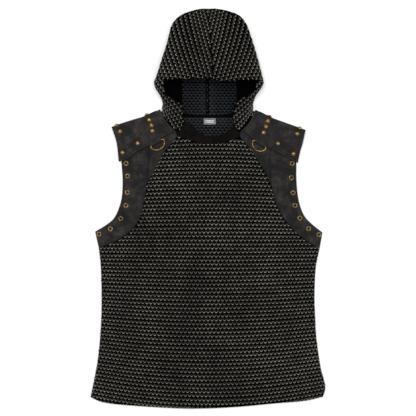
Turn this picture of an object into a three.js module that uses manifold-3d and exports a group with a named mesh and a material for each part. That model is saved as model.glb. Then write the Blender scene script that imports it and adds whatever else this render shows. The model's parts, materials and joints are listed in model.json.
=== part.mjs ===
// A hooded, sleeveless top in chainmail-look knit with leather shoulders, laid flat with its front up.
// Millimetres. X runs across the garment, Y from the hem to the hood, Z up from the surface it lies on.
// Left and right are as seen from above.
import * as THREE from 'three';
import { mergeVertices } from 'three/addons/utils/BufferGeometryUtils.js';
import Module from 'manifold-3d';

const wasm = await Module();
wasm.setup();

// ---------------------------------------------------------------- driving dimensions
const KNIT = 2.4;              // thickness of the knit
const LEATHER = 1.4;           // thickness of the shoulder and armhole leather
const STRAP_LEATHER = 1.1;
const NECKBAND = 1.6;
const LABEL_THICKNESS = 0.4;
const LABEL_WIDTH = 30;
const LABEL_LENGTH = 16;
const LABEL_AT = [4, 207];     // just below the back neck seam
const GAP = 0.3;               // clearance between neighbouring pieces
const SEAM_INSET = 0.22;       // each piece's edge stands this far back from the seam line
const BACK_INSET = 1.2;        // the back panels stop this far inside the front's outline

const FRONT_HEIGHT = KNIT + GAP;                 // underside of everything on the front layer
const STACK_LIFT = LEATHER + GAP;                // rise of the back leather over the flap's back part
const FRONT_LIFT = 0.7;                          // rise of the front leather in the same place
const LIFT_START = 118;
const LIFT_END = 148;
const FLAP_HEIGHT = 6.3;                         // middle of the flap's front part
const FLAP_BACK_HEIGHT = LEATHER / 2;
const FLAP_BACK_REACH = 36;
const FLAP_COLUMNS = 10;
const STRAP_HEIGHT = FLAP_HEIGHT + LEATHER / 2 + GAP + STRAP_LEATHER / 2;
const STRAP_FOLD_ANGLE = 100;                    // degrees that the strap turns down over the shoulder

const RING_RADIUS = 17.5;        // D-ring, to the middle of its wire
const RING_WIRE = 2.6;
const RING_CORNER = 3;
const RING_JOINT = 0.4;        // the butt joint in the ring's bar, hidden in the strap's loop
const RING_AXIS_HEIGHT = 8.1;
const RING_DROP = 1.6;         // how far the bow lies below the bar
const LOOP_RADIUS = 2.25;      // middle of the strap where it turns round the ring's bar
const LOOP_TAIL_ANGLE = -145;  // degrees, from outward through up
const LOOP_TOP_ANGLE = 105;
const LOOP_LIFT = 1.6;         // the strap's rise just before the loop

const STUD_RADIUS = 4.75;
const STUD_RISE = 3;
const STUD_SEGMENTS = 10;
const FOLD_STUD_TILTS = [38, 15];     // degrees above level of the outer and inner stud on the shoulder fold
const EYELET_RADIUS = 6.2;
const EYELET_BORE = 2.75;
const EYELET_BARREL = 3.7;
const EYELET_RIM = 0.8;
const EYELET_SEGMENTS = 12;
const PUNCH_LENGTH = 20;         // cuts through every layer at the surface

const HOOD_RISE = 46;          // height of the hood's opening over the surface, to the middle of the knit
const HOOD_SIDE_RISE = 17;
const NECK_EDGE_RISE = 7;      // the same two heights where the hood meets the neck
const NECK_SIDE_RISE = 3.2;
const NECK_BOW = 8;            // sideways curve of the hood's neck seam on the front
const CROWN_HEIGHT = 3.8;
const HOOD_ROUNDNESS = 2.5;    // power of the superellipse across the hood
const FLARE_Y = 297;           // level of the hood's flared front corners
const CROWN_Y = 475;
const NECK_Y = 219;            // back neck seam at the middle
const NECK_RISE = 19;          // how much higher that seam ends at the sides
const NECK_HALF_WIDTH = 108;

// ---------------------------------------------------------------- outlines, points on the real pieces
const hem = [[-279, -448], [-246, -461], [-170, -469], [-50, -475.2], [60, -472], [160, -463], [230, -457],
  [273, -447]];
const neckLine = [[-73, 172], [-48, 165], [-19, 156], [7, 154], [29, 156], [52, 162], [75, 172]];
const neckOpening = [[-66, 222], [-56, 211], [-34, 193], [-13, 177], [7, 173], [36, 177], [58, 193],
  [71, 219]];

const left = {
  name: 'left',
  side: [[-279, -448], [-271, -410], [-262, -361], [-256, -303], [-253, -246], [-253, -189], [-255, -132],
    [-259.5, -94]],
  sideLeather: [[-259.5, -94], [-268, -55]],
  armhole: [[-268, -55], [-239, -37], [-222, -21], [-210, 6], [-204, 34], [-203, 70], [-205, 100],
    [-208, 140], [-213, 170], [-220, 189]],
  armholeSeam: [[-259.5, -94], [-225, -81], [-194, -62], [-170, -37], [-158, -8], [-151, 20], [-146, 57]],
  yokeSeam: [[-146, 57], [-142, 100], [-142, 150], [-145, 215]],
  yokeKnitSeam: [[-146, 57], [-121, 101], [-104, 134], [-87, 153], [-73, 172]],
  yokeNeck: [[-73, 172], [-76, 184], [-84, 191], [-94, 201], [-101, 211], [-106, 221], [-110, 232]],
  shoulder: [[-145, 215], [-220, 189]],
  backSeam: [[-259.5, -94], [-225, -78], [-185, -40], [-160, 10], [-140, 70], [-118, 130], [-108, 180],
    [-106, 232]],
  flapLower: [[-83, 184], [-102, 173], [-140, 150], [-164, 139], [-188, 121], [-212, 111]],
  flapFold: [[-112.6, 236], [-146, 221], [-182, 210], [-210, 201], [-228, 194]],
  flapInner: [[-83, 184], [-96, 203.5], [-104.5, 214], [-109.5, 225], [-112.6, 236]],
  flapOuter: [[-212, 111], [-215, 144], [-219, 166], [-228, 194]],
  strapLower: [[-137.2, 152.8], [-113.2, 167.2]],
  strapUpper: [-149, -121],
  strapOuterEdge: [[-137.2, 152.8], [-143.5, 176], [-148.5, 190]],
  strapInnerEdge: [[-113.2, 167.2], [-119.5, 190], [-121.5, 210]],
  ring: [-121.6, 156.7],
  strapStuds: [[-132, 184], [-134, 197], [-139.5, 210]],
  flapStuds: [[-209, 183], [-167, 155], [-203, 133]],
  foldStuds: [-216, -144],
  eyelets: [[-195, 107], [-191, 77], [-192, 38], [-195, 7], [-207.5, -24], [-232, -48.5], [-259, -61]],
  hoodSide: [[-110, 238], [-107, 250], [-113, 268], [-125, 287], [-127, FLARE_Y]],
  hoodFlare: [[-127, FLARE_Y], [-126, 303], [-121, 314]],
  hoodCrown: [[-121, 314], [-109, 353], [-97.5, 389], [-90, 420], [-84, 437], [-67, 456], [-40, 468],
    [-16, 474], [0, CROWN_Y]],
  hoodOpening: [[-68, 182.5], [-58, 200], [-60, 222], [-62, 242], [-75, 255], [-97, 267], [-103, 284],
    [-103, 302]],
  hoodBrim: [[-103, 302], [-60, 302], [12, 304]],
};

const right = {
  name: 'right',
  side: [[273, -447], [278.6, -422], [267, -375], [257, -303], [254, -246], [253, -204], [256, -140],
    [265, -95]],
  sideLeather: [[265, -95], [272, -57]],
  armhole: [[272, -57], [247, -37], [230, -19], [219, 6], [213, 34], [210, 70], [210, 96], [210, 130],
    [215, 165], [223, 184]],
  armholeSeam: [[265, -95], [243, -83], [214, -62], [187, -33], [173, -11], [161, 13], [150, 57]],
  yokeSeam: [[150, 57], [147, 100], [148, 150], [148, 211]],
  yokeKnitSeam: [[150, 57], [132, 93], [117, 117], [98, 145], [75, 172]],
  yokeNeck: [[75, 172], [78, 184], [86, 192], [95.5, 202], [102, 212], [106, 222], [109, 232]],
  shoulder: [[148, 211], [223, 184]],
  backSeam: [[265, -95], [230, -80], [190, -42], [166, 10], [145, 70], [120, 130], [108, 180],
    [106, 232]],
  flapLower: [[87, 182], [101, 172], [136, 150], [156, 140], [186, 123], [213, 108]],
  flapFold: [[111.5, 235.5], [141, 220], [173, 208], [201, 198], [231, 187]],
  flapInner: [[87, 182], [97.5, 204], [104, 214.5], [108.5, 226], [111.5, 235.5]],
  flapOuter: [[213, 108], [219, 137], [225, 158], [231, 187]],
  strapLower: [[137.7, 149.8], [113.9, 164.6]],
  strapUpper: [149, 121],
  strapOuterEdge: [[137.7, 149.8], [143.5, 173], [148, 196]],
  strapInnerEdge: [[113.9, 164.6], [116, 180], [119, 205]],
  ring: [123.6, 153.8],
  strapStuds: [[132, 180], [137.5, 194], [142, 207.5]],
  flapStuds: [[212, 177], [166, 154], [203, 130]],
  foldStuds: [217, 145],
  eyelets: [[200, 107], [198, 73], [202, 37], [207, 7], [218.5, -23], [239, -48], [263.5, -62]],
  hoodSide: [[108, 240], [107, 250], [113, 268], [127, 287], [131, FLARE_Y]],
  hoodFlare: [[131, FLARE_Y], [130, 304], [127, 316]],
  hoodCrown: [[127, 316], [117.5, 353], [107, 389], [97, 420], [90, 437], [75.5, 456], [48, 468], [20, 474],
    [2, CROWN_Y]],
  hoodOpening: [[71, 182.5], [64, 197], [61, 220], [63, 242], [77, 258], [102, 272], [112, 286], [113, 301]],
  hoodBrim: [[113, 301], [72, 300], [36, 295.5], [12, 304]],
};
const frontEdgeMiddle = [12, 304];    // the hood's centre seam meets the front edge here
const topSeam = [frontEdgeMiddle, [7, 385], [2, 455], [1, CROWN_Y]];

// Soft ridges of the body front: middle, direction in degrees, half length, half width, height.
const folds = [
  { at: [-60, -230], turn: 52, reach: 260, spread: 60, rise: 2.6 },
  { at: [120, -330], turn: 68, reach: 150, spread: 45, rise: 1.8 },
  { at: [-170, -330], turn: 80, reach: 130, spread: 40, rise: 1.6 },
  { at: [60, 60], turn: 20, reach: 120, spread: 45, rise: 1.2 },
];

// ---------------------------------------------------------------- curves, patches and shells
const mix = (a, b, t) => a + (b - a) * t;
const smooth = (from, to, value) => THREE.MathUtils.smoothstep(value, from, to);
const radians = THREE.MathUtils.degToRad;

// A smooth plan curve through hand-placed points, cut into equal steps.
function curve(points, steps) {
  const spline = new THREE.SplineCurve(points.map(([x, y]) => new THREE.Vector2(x, y)));
  return spline.getSpacedPoints(steps);
}

// Curves that follow on from each other, without doubling the points they share.
function chain(...curves) {
  return curves.flatMap((points, index) => (index === 0 ? points : points.slice(1)));
}

// A four-sided plan patch blended between its edges (a Coons patch). Rows run from bottom to top.
function patch({ bottom, top, left: start, right: end }) {
  const columns = bottom.length - 1;
  const rows = start.length - 1;
  const grid = [];
  for (let j = 0; j <= rows; j++) {
    const v = j / rows;
    const row = [];
    for (let i = 0; i <= columns; i++) {
      const u = i / columns;
      const blend = (axis) => mix(bottom[i][axis], top[i][axis], v) + mix(start[j][axis], end[j][axis], u)
        - mix(mix(bottom[0][axis], bottom[columns][axis], u), mix(top[0][axis], top[columns][axis], u), v);
      row.push(new THREE.Vector3(blend('x'), blend('y'), 0));
    }
    grid.push(row);
  }
  return grid;
}

// Moves a grid's outer points inwards, so that neighbours keep their seam gap.
function inset(grid, distance) {
  const rows = grid.length - 1;
  const columns = grid[0].length - 1;
  const moved = grid.map((row) => row.map((point) => point.clone()));
  const pull = (j, i, towardJ, towardI) => {
    const step = grid[towardJ][towardI].clone().sub(grid[j][i]).setZ(0);
    if (step.length() > 0) moved[j][i].add(step.setLength(distance));
  };
  for (let j = 0; j <= rows; j++) {
    pull(j, 0, j, 1);
    pull(j, columns, j, columns - 1);
  }
  for (let i = 0; i <= columns; i++) {
    pull(0, i, 1, i);
    pull(rows, i, rows - 1, i);
  }
  return moved;
}

function setHeights(grid, height) {
  for (const row of grid) for (const point of row) point.z = height(point.x, point.y);
  return grid;
}

// Moves a curve's points back towards its start, most at its far end.
function shorten(points, distance) {
  const steps = points.length - 1;
  return points.map((point, k) => point.clone().add(new THREE.Vector2(0, (-distance * k) / steps)));
}

// Surface normals of a grid, from the steps to the neighbours of each point.
function gridNormals(grid) {
  const rows = grid.length - 1;
  const columns = grid[0].length - 1;
  return grid.map((row, j) => row.map((point, i) => {
    const across = row[Math.min(i + 1, columns)].clone().sub(row[Math.max(i - 1, 0)]);
    const along = grid[Math.min(j + 1, rows)][i].clone().sub(grid[Math.max(j - 1, 0)][i]);
    return across.cross(along).normalize();
  }));
}

// Drops triangles that have shrunk to a line and turns the surface to face out.
function cleanSolid(positions, triangles) {
  const loose = new THREE.BufferGeometry();
  loose.setAttribute('position', new THREE.Float32BufferAttribute(positions, 3));
  loose.setIndex(triangles);
  const merged = mergeVertices(loose, 1e-3);
  const index = Array.from(merged.index.array);
  const place = merged.attributes.position;
  const corner = [0, 1, 2].map(() => new THREE.Vector3());
  const kept = [];
  let volume = 0;
  for (let k = 0; k < index.length; k += 3) {
    const [a, b, c] = index.slice(k, k + 3);
    if (a === b || b === c || c === a) continue;
    kept.push([a, b, c]);
    [a, b, c].forEach((vertex, n) => corner[n].fromBufferAttribute(place, vertex));
    volume += corner[0].dot(corner[1].clone().cross(corner[2]));
  }
  const facing = volume > 0 ? kept : kept.map(([a, b, c]) => [a, c, b]);
  merged.setIndex(facing.flat());
  return merged;
}

// A wall of even thickness on both sides of a grid of points.
function shell(grid, thickness, normals = gridNormals(grid)) {
  const rows = grid.length - 1;
  const columns = grid[0].length - 1;
  const positions = [];
  for (const side of [0.5, -0.5]) {
    grid.forEach((row, j) => row.forEach((point, i) => {
      positions.push(...point.clone().addScaledVector(normals[j][i], side * thickness).toArray());
    }));
  }
  const half = (rows + 1) * (columns + 1);
  const at = (j, i) => j * (columns + 1) + i;
  const triangles = [];
  const quad = (a, b, c, d) => triangles.push(a, b, c, a, c, d);
  for (let j = 0; j < rows; j++) {
    for (let i = 0; i < columns; i++) {
      quad(at(j, i), at(j, i + 1), at(j + 1, i + 1), at(j + 1, i));
      quad(half + at(j, i), half + at(j + 1, i), half + at(j + 1, i + 1), half + at(j, i + 1));
    }
  }
  const border = [];
  for (let i = 0; i < columns; i++) border.push(at(0, i));
  for (let j = 0; j < rows; j++) border.push(at(j, columns));
  for (let i = columns; i > 0; i--) border.push(at(rows, i));
  for (let j = rows; j > 0; j--) border.push(at(j, 0));
  border.forEach((vertex, n) => {
    const next = border[(n + 1) % border.length];
    quad(vertex, half + vertex, half + next, next);
  });
  return cleanSolid(positions, triangles);
}

// ---------------------------------------------------------------- booleans
function toManifold(geometry) {
  const bare = new THREE.BufferGeometry();
  bare.setAttribute('position', geometry.attributes.position);
  bare.setIndex(geometry.index);
  const merged = mergeVertices(bare, 1e-4);
  return new wasm.Manifold(new wasm.Mesh({
    numProp: 3,
    vertProperties: merged.attributes.position.array,
    triVerts: new Uint32Array(merged.index.array),
  }));
}

function fromManifold(solid) {
  const { vertProperties, triVerts } = solid.getMesh();
  const geometry = new THREE.BufferGeometry();
  geometry.setAttribute('position', new THREE.BufferAttribute(vertProperties, 3));
  geometry.setIndex(new THREE.BufferAttribute(triVerts, 1));
  return geometry;
}

function pierce(geometry, centres, radius) {
  let solid = toManifold(geometry);
  for (const [x, y] of centres) {
    const punch = new THREE.CylinderGeometry(radius, radius, PUNCH_LENGTH, EYELET_SEGMENTS);
    punch.rotateX(Math.PI / 2).translate(x, y, 0);
    solid = solid.subtract(toManifold(punch));
  }
  return fromManifold(solid);
}

// ---------------------------------------------------------------- materials and the group
const hauberk = new THREE.Group();
const finishes = {
  knit: { color: 0x2b2a27, roughness: 0.75, metalness: 0.15 },
  leather: { color: 0x2d2a2a, roughness: 0.8, metalness: 0 },
  neckband: { color: 0x191514, roughness: 0.7, metalness: 0 },
  brass: { color: 0xb98a3c, roughness: 0.35, metalness: 1 },
  label: { color: 0x8f9296, roughness: 0.85, metalness: 0 },
};

function add(name, geometry, finish) {
  geometry.computeVertexNormals();
  const mesh = new THREE.Mesh(geometry, new THREE.MeshStandardMaterial(finishes[finish]));
  mesh.name = name;
  hauberk.add(mesh);
  return mesh;
}

// ---------------------------------------------------------------- heights of the laid panels
function foldRise(x, y) {
  return folds.reduce((sum, { at, turn, reach, spread, rise }) => {
    const along = ((x - at[0]) * Math.cos(radians(turn)) + (y - at[1]) * Math.sin(radians(turn))) / reach;
    const across = (-(x - at[0]) * Math.sin(radians(turn)) + (y - at[1]) * Math.cos(radians(turn))) / spread;
    return sum + rise * Math.exp(-along * along - across * across);
  }, 0);
}

// The ridges die out towards the hem, the sides and the neck, where the front lies on the back.
function frontKnitHeight(x, y) {
  const fade = smooth(-470, -400, y) * (1 - smooth(90, 150, y)) * (1 - smooth(190, 245, Math.abs(x)));
  return FRONT_HEIGHT + KNIT / 2 + foldRise(x, y) * fade;
}

const stackShare = (y) => smooth(LIFT_START, LIFT_END, y);
const frontLeatherHeight = (x, y) => FRONT_HEIGHT + LEATHER / 2 + FRONT_LIFT * stackShare(y);
const backLeatherHeight = (x, y) => LEATHER / 2 + STACK_LIFT * stackShare(y);

// ---------------------------------------------------------------- body panels
const SIDE_ROWS = 10;
const ARMHOLE_ROWS = 7;
const YOKE_ROWS = 5;
const YOKE_TIP_TRIM = 0.15;      // share of its first row by which the yoke stops short of its tip
const NECK_ROWS = 4;
const FRONT_COLUMNS = 16;

function frontEdge(side) {
  return chain(curve(side.side, SIDE_ROWS), curve(side.armholeSeam, ARMHOLE_ROWS),
    curve(side.yokeKnitSeam, YOKE_ROWS));
}

function makeFrontPanel() {
  const grid = inset(patch({
    bottom: curve(hem, FRONT_COLUMNS),
    top: curve(neckLine, FRONT_COLUMNS),
    left: frontEdge(left),
    right: frontEdge(right),
  }), SEAM_INSET);
  add('front_panel', shell(setHeights(grid, frontKnitHeight), KNIT), 'knit');
}

function backEdge(side) {
  return chain(curve(side.side, 7), curve(side.backSeam, 9));
}

function makeBackPanel() {
  const columns = 12;
  const [neckStart, neckEnd] = [left.backSeam.at(-1), right.backSeam.at(-1)];
  const neck = [new THREE.Vector2(...neckStart)];
  for (let i = 1; i < columns; i++) {
    const x = mix(neckStart[0], neckEnd[0], i / columns);
    neck.push(new THREE.Vector2(x, NECK_Y - 2 * GAP + NECK_RISE * (x / NECK_HALF_WIDTH) ** 2));
  }
  neck.push(new THREE.Vector2(...neckEnd));
  const grid = inset(patch({
    bottom: curve(hem, columns), top: neck, left: backEdge(left), right: backEdge(right),
  }), SEAM_INSET);
  for (const row of grid.slice(0, 8)) {
    row[0].x += BACK_INSET;
    row[columns].x -= BACK_INSET;
  }
  for (const point of grid[0]) point.y += BACK_INSET;
  add('back_panel', shell(setHeights(grid, () => KNIT / 2), KNIT), 'knit');
}

function makeArmhole(side) {
  const columns = 4;
  const rows = ARMHOLE_ROWS + YOKE_ROWS + NECK_ROWS;
  const front = inset(patch({
    bottom: curve([...side.sideLeather].reverse(), columns),
    top: curve([...side.shoulder].reverse(), columns),
    left: curve(side.armhole, rows),
    right: chain(curve(side.armholeSeam, ARMHOLE_ROWS), curve(side.yokeSeam, YOKE_ROWS + NECK_ROWS)),
  }), SEAM_INSET);
  const sheet = shell(setHeights(front, frontLeatherHeight), LEATHER);
  add(`armhole_front_${side.name}`, pierce(sheet, side.eyelets, EYELET_BARREL + GAP), 'leather');

  const back = inset(patch({
    bottom: curve([...side.sideLeather].reverse(), 3),
    top: curve([side.shoulder[1], side.backSeam.at(-1)], 3),
    left: curve(side.armhole, 9),
    right: curve(side.backSeam, 9),
  }), SEAM_INSET);
  for (const row of back) row[0].addScaledVector(row[1].clone().sub(row[0]).normalize(), BACK_INSET);
  add(`armhole_back_${side.name}`, shell(setHeights(back, backLeatherHeight), LEATHER), 'leather');
}

function makeYoke(side) {
  const rows = YOKE_ROWS + NECK_ROWS;
  const columns = 3;
  const tipWidth = Math.sign(side.yokeSeam[0][0]) * -2;
  const seam = curve(side.yokeSeam, rows);
  const knitSide = chain(curve(side.yokeKnitSeam, YOKE_ROWS), curve(side.yokeNeck, NECK_ROWS));
  const tip = [side.yokeSeam[0], [side.yokeSeam[0][0] + tipWidth, side.yokeSeam[0][1]]];
  const grid = inset(patch({
    bottom: curve(tip, columns),
    top: curve([side.yokeSeam.at(-1), side.yokeNeck.at(-1)], columns),
    left: seam,
    right: knitSide,
  }), SEAM_INSET);
  grid[0].forEach((point, i) => point.lerp(grid[1][i], YOKE_TIP_TRIM));
  add(`yoke_${side.name}`, shell(setHeights(grid, frontLeatherHeight), LEATHER), 'leather');
}

function makeNeckband() {
  const columns = 14;
  const grid = inset(patch({
    bottom: curve(neckLine, columns),
    top: curve(neckOpening, columns),
    left: curve([neckLine[0], neckOpening[0]], 2),
    right: curve([neckLine.at(-1), neckOpening.at(-1)], 2),
  }), SEAM_INSET);
  add('neckband', shell(setHeights(grid, () => FRONT_HEIGHT + NECKBAND / 2), NECKBAND), 'neckband');
}

function makeLabel() {
  const sheet = new THREE.BoxGeometry(LABEL_WIDTH, LABEL_LENGTH, LABEL_THICKNESS);
  sheet.translate(...LABEL_AT, KNIT + GAP + LABEL_THICKNESS / 2);
  add('label', sheet, 'label');
}

// ---------------------------------------------------------------- shoulder flaps, straps and rings
// The line about which the shoulder's layers fold, one fold radius inside the outline.
function foldLine(side) {
  const inside = flapFoldRadius + LEATHER / 2;
  return curve(side.flapFold, FLAP_COLUMNS).map((point) => point.clone().setY(point.y - inside));
}

// A point of the fold line at a given X, with the level direction out of the shoulder there.
function foldAt(side, x) {
  const line = foldLine(side);
  const after = Math.max(1, line.findIndex((point, k) => k > 0 && Math.abs(point.x) >= Math.abs(x)));
  const [start, end] = [line[after - 1], line[after]];
  const share = (x - start.x) / (end.x - start.x);
  const along = end.clone().sub(start).normalize();
  const outward = new THREE.Vector3(-along.y, along.x, 0);
  if (outward.y < 0) outward.negate();
  return { point: new THREE.Vector3(x, mix(start.y, end.y, share), 0), outward };
}

// Carries a front patch over the shoulder: a turn about the fold line, then a run down the back.
function foldOver(side, grid, { height, radius, degrees, backReach, turnSteps, backSteps }) {
  const last = grid.at(-1);
  const outward = last.map((point) => foldAt(side, point.x).outward);
  const rows = grid.map((row) => row.map((point) => point.clone().setZ(height)));
  for (let k = 1; k <= turnSteps; k++) {
    const angle = radians(degrees) * (k / turnSteps);
    rows.push(last.map((point, i) => point.clone().addScaledVector(outward[i], radius * Math.sin(angle))
      .setZ(height - radius * (1 - Math.cos(angle)))));
  }
  const turned = rows.at(-1);
  for (let k = 1; k <= backSteps; k++) {
    const share = -k / backSteps;
    rows.push(turned.map((point, i) => point.clone().addScaledVector(outward[i], backReach[i] * share)));
  }
  return rows;
}

const flapFoldRadius = (FLAP_HEIGHT - FLAP_BACK_HEIGHT) / 2;
const strapFoldRadius = flapFoldRadius + LEATHER / 2 + GAP + STRAP_LEATHER / 2;

function makeFlap(side) {
  const flat = patch({
    bottom: curve(side.flapLower, FLAP_COLUMNS),
    top: foldLine(side),
    left: shorten(curve(side.flapInner, 5), flapFoldRadius + LEATHER / 2),
    right: shorten(curve(side.flapOuter, 5), flapFoldRadius + LEATHER / 2),
  });
  const grid = foldOver(side, flat, {
    height: FLAP_HEIGHT,
    radius: flapFoldRadius,
    degrees: 180,
    backReach: flat[0].map((point, i) => FLAP_BACK_REACH * mix(0.2, 1, smooth(0, 4, i))),
    turnSteps: 5,
    backSteps: 2,
  });
  add(`shoulder_flap_${side.name}`, shell(grid, LEATHER), 'leather');
}

// Where the ring's bar lies: along the strap's lower end, turned to match it.
function ringFrame(side) {
  const [start, end] = side.strapLower.map(([x, y]) => new THREE.Vector3(x, y, 0));
  const bar = (start.x < end.x ? end.clone().sub(start) : start.clone().sub(end)).normalize();
  const outward = new THREE.Vector3(bar.y, -bar.x, 0);
  const axis = new THREE.Vector3(...side.ring, RING_AXIS_HEIGHT);
  return { start, end, outward, axis, angle: Math.atan2(bar.y, bar.x) };
}

// The strap's lower end passes over the ring's bar and turns back under it.
function loopRows(side) {
  const { start, end, outward, axis } = ringFrame(side);
  const reach = axis.clone().setZ(0).sub(start).dot(outward);
  const steps = 8;
  const rows = [];
  for (let k = 0; k <= steps; k++) {
    const angle = radians(mix(LOOP_TAIL_ANGLE, LOOP_TOP_ANGLE, k / steps));
    rows.push([0, 0.5, 1].map((share) => start.clone().lerp(end, share)
      .addScaledVector(outward, reach + LOOP_RADIUS * Math.cos(angle))
      .setZ(RING_AXIS_HEIGHT + LOOP_RADIUS * Math.sin(angle))));
  }
  return rows;
}

function makeStrap(side) {
  const rows = 6;
  const [outer, inner] = side.strapUpper.map((x) => foldAt(side, x).point);
  const flat = patch({
    bottom: curve(side.strapLower, 2),
    top: [outer, foldAt(side, (outer.x + inner.x) / 2).point, inner],
    left: curve([...side.strapOuterEdge, outer.toArray()], rows),
    right: curve([...side.strapInnerEdge, inner.toArray()], rows),
  });
  const over = foldOver(side, flat, {
    height: STRAP_HEIGHT,
    radius: strapFoldRadius,
    degrees: STRAP_FOLD_ANGLE,
    backReach: [],
    turnSteps: 4,
    backSteps: 0,
  });
  for (const point of over[0]) point.z += LOOP_LIFT;
  add(`stud_strap_${side.name}`, shell([...loopRows(side), ...over], STRAP_LEATHER), 'leather');
}

function makeRing(side) {
  const inner = RING_RADIUS - RING_CORNER;
  const half = [[RING_JOINT / 2, 0], [inner / 2, 0], [inner, 0]];
  for (const degrees of [60, 30, 0]) {
    const angle = radians(degrees);
    half.push([inner + RING_CORNER * Math.cos(angle), -RING_CORNER + RING_CORNER * Math.sin(angle)]);
  }
  for (const degrees of [20, 40, 60, 80]) {
    const angle = radians(degrees);
    half.push([RING_RADIUS * Math.cos(angle), -RING_CORNER - inner * Math.sin(angle)]);
  }
  const other = [...half].reverse().map(([x, y]) => [-x, y]);
  const path = new THREE.CatmullRomCurve3([...half, ...other].map(([x, y]) => new THREE.Vector3(x, y, 0)));
  const section = new THREE.Shape().absarc(0, 0, RING_WIRE / 2, 0, Math.PI * 2);
  const wire = new THREE.ExtrudeGeometry(section, { steps: 34, curveSegments: 4, extrudePath: path });
  const ring = add(`ring_${side.name}`, solid(wire), 'brass');
  const { axis, angle } = ringFrame(side);
  ring.position.copy(axis);
  ring.rotation.set(Math.asin(RING_DROP / RING_RADIUS), 0, angle, 'ZXY');
}

// ---------------------------------------------------------------- studs and eyelets
// Makes one closed solid of a lathe or extrusion, with its shared points merged.
function solid(geometry) {
  const { position } = geometry.attributes;
  const index = geometry.index?.array ?? Array.from({ length: position.count }, (_, n) => n);
  return cleanSolid(Array.from(position.array), Array.from(index));
}

function turned(profile, segments) {
  const lathe = new THREE.LatheGeometry(profile.map(([r, z]) => new THREE.Vector2(r, z)), segments);
  return solid(lathe.rotateX(Math.PI / 2));
}

const studProfile = [[0, 0], [STUD_RADIUS, 0], [STUD_RADIUS, 0.5], [STUD_RADIUS * 0.86, STUD_RISE * 0.58],
  [STUD_RADIUS * 0.5, STUD_RISE * 0.9], [0, STUD_RISE]];

function makeStuds(side) {
  const strapTop = STRAP_HEIGHT + STRAP_LEATHER / 2 + GAP;
  const flapTop = FLAP_HEIGHT + LEATHER / 2 + GAP;
  const addStud = (name) => add(`stud_${name}`, turned(studProfile, STUD_SEGMENTS), 'brass');
  side.strapStuds.forEach(([x, y], n) => {
    addStud(`strap_${side.name}_${n + 1}`).position.set(x, y, strapTop);
  });
  side.flapStuds.forEach(([x, y], n) => {
    addStud(`flap_${side.name}_${n + 1}`).position.set(x, y, flapTop);
  });
  const foldRadii = [flapFoldRadius + LEATHER / 2 + GAP, strapFoldRadius + STRAP_LEATHER / 2 + GAP];
  side.foldStuds.forEach((x, n) => {
    const stud = addStud(`fold_${side.name}_${n + 1}`);
    const { point, outward } = foldAt(side, x);
    const tilt = radians(FOLD_STUD_TILTS[n]);
    const facing = outward.multiplyScalar(Math.cos(tilt)).setZ(Math.sin(tilt));
    stud.position.copy(point).setZ(FLAP_HEIGHT - flapFoldRadius).addScaledVector(facing, foldRadii[n]);
    stud.quaternion.setFromUnitVectors(new THREE.Vector3(0, 0, 1), facing);
  });
}

const eyeletProfile = [[EYELET_BORE, -LEATHER - GAP], [EYELET_BARREL, -LEATHER - GAP], [EYELET_BARREL, 0],
  [EYELET_RADIUS, 0], [EYELET_RADIUS * 0.9, EYELET_RIM * 0.8], [EYELET_RADIUS * 0.62, EYELET_RIM],
  [EYELET_BORE, EYELET_RIM * 0.35], [EYELET_BORE, -LEATHER - GAP]];

function makeEyelets(side) {
  side.eyelets.forEach(([x, y], n) => {
    const top = frontLeatherHeight(x, y) + LEATHER / 2 + GAP;
    const eyelet = add(`eyelet_${side.name}_${n + 1}`, turned(eyeletProfile, EYELET_SEGMENTS), 'brass');
    eyelet.position.set(x, y, top);
  });
}

// ---------------------------------------------------------------- hood
const STRIP_ROWS = 5;          // from the neck up to the flared front corner
const FLARE_ROWS = 3;          // round that corner, ending along the hood's front edge
const CROWN_ROWS = 8;          // from there over the crown

// Each row runs from the back seam out to the side and back over the top, to the opening or the top seam.
// The walls of the two halves face each other squarely along that seam.
function hoodRow(side, place, rise, sideRise, floor, bow) {
  const { back, edge, end } = place;
  const width = edge.x - back.x;
  const endShare = (end.x - back.x) / width;
  const turnStart = Math.max(0.4, 1 - (0.9 * (sideRise - floor)) / Math.abs(width));
  const row = [];
  const underSteps = 4;
  for (let k = 0; k <= underSteps; k++) {
    const share = (turnStart * k) / underSteps;
    row.push([share, floor]);
  }
  const turnSteps = 3;
  for (let k = 1; k <= turnSteps; k++) {
    const angle = (Math.PI / 2) * (k / turnSteps);
    row.push([mix(turnStart, 1, Math.sin(angle)), mix(sideRise, floor, Math.cos(angle))]);
  }
  const points = row.map(([share, z]) => new THREE.Vector3(mix(back.x, edge.x, share),
    mix(back.y, edge.y, share * share), z));
  const topSteps = 8;
  const endAngle = Math.acos(Math.sign(endShare) * Math.abs(endShare) ** (HOOD_ROUNDNESS / 2));
  const across = new THREE.Vector2(end.x - edge.x, end.y - edge.y);
  const sideways = new THREE.Vector2(-Math.abs(across.y) * Math.sign(across.x), -Math.abs(across.x));
  sideways.normalize();
  for (let k = 1; k <= topSteps; k++) {
    const angle = endAngle * (k / topSteps);
    const level = Math.cos(angle);
    const share = Math.sign(level) * Math.abs(level) ** (2 / HOOD_ROUNDNESS);
    const inward = (1 - share) / (1 - endShare);
    const push = bow * 4 * inward * (1 - inward);
    points.push(new THREE.Vector3(edge.x + across.x * inward + sideways.x * push,
      edge.y + across.y * inward + sideways.y * push,
      mix(sideRise, rise, Math.sin(angle) ** (2 / HOOD_ROUNDNESS))));
  }
  return points;
}

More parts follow.
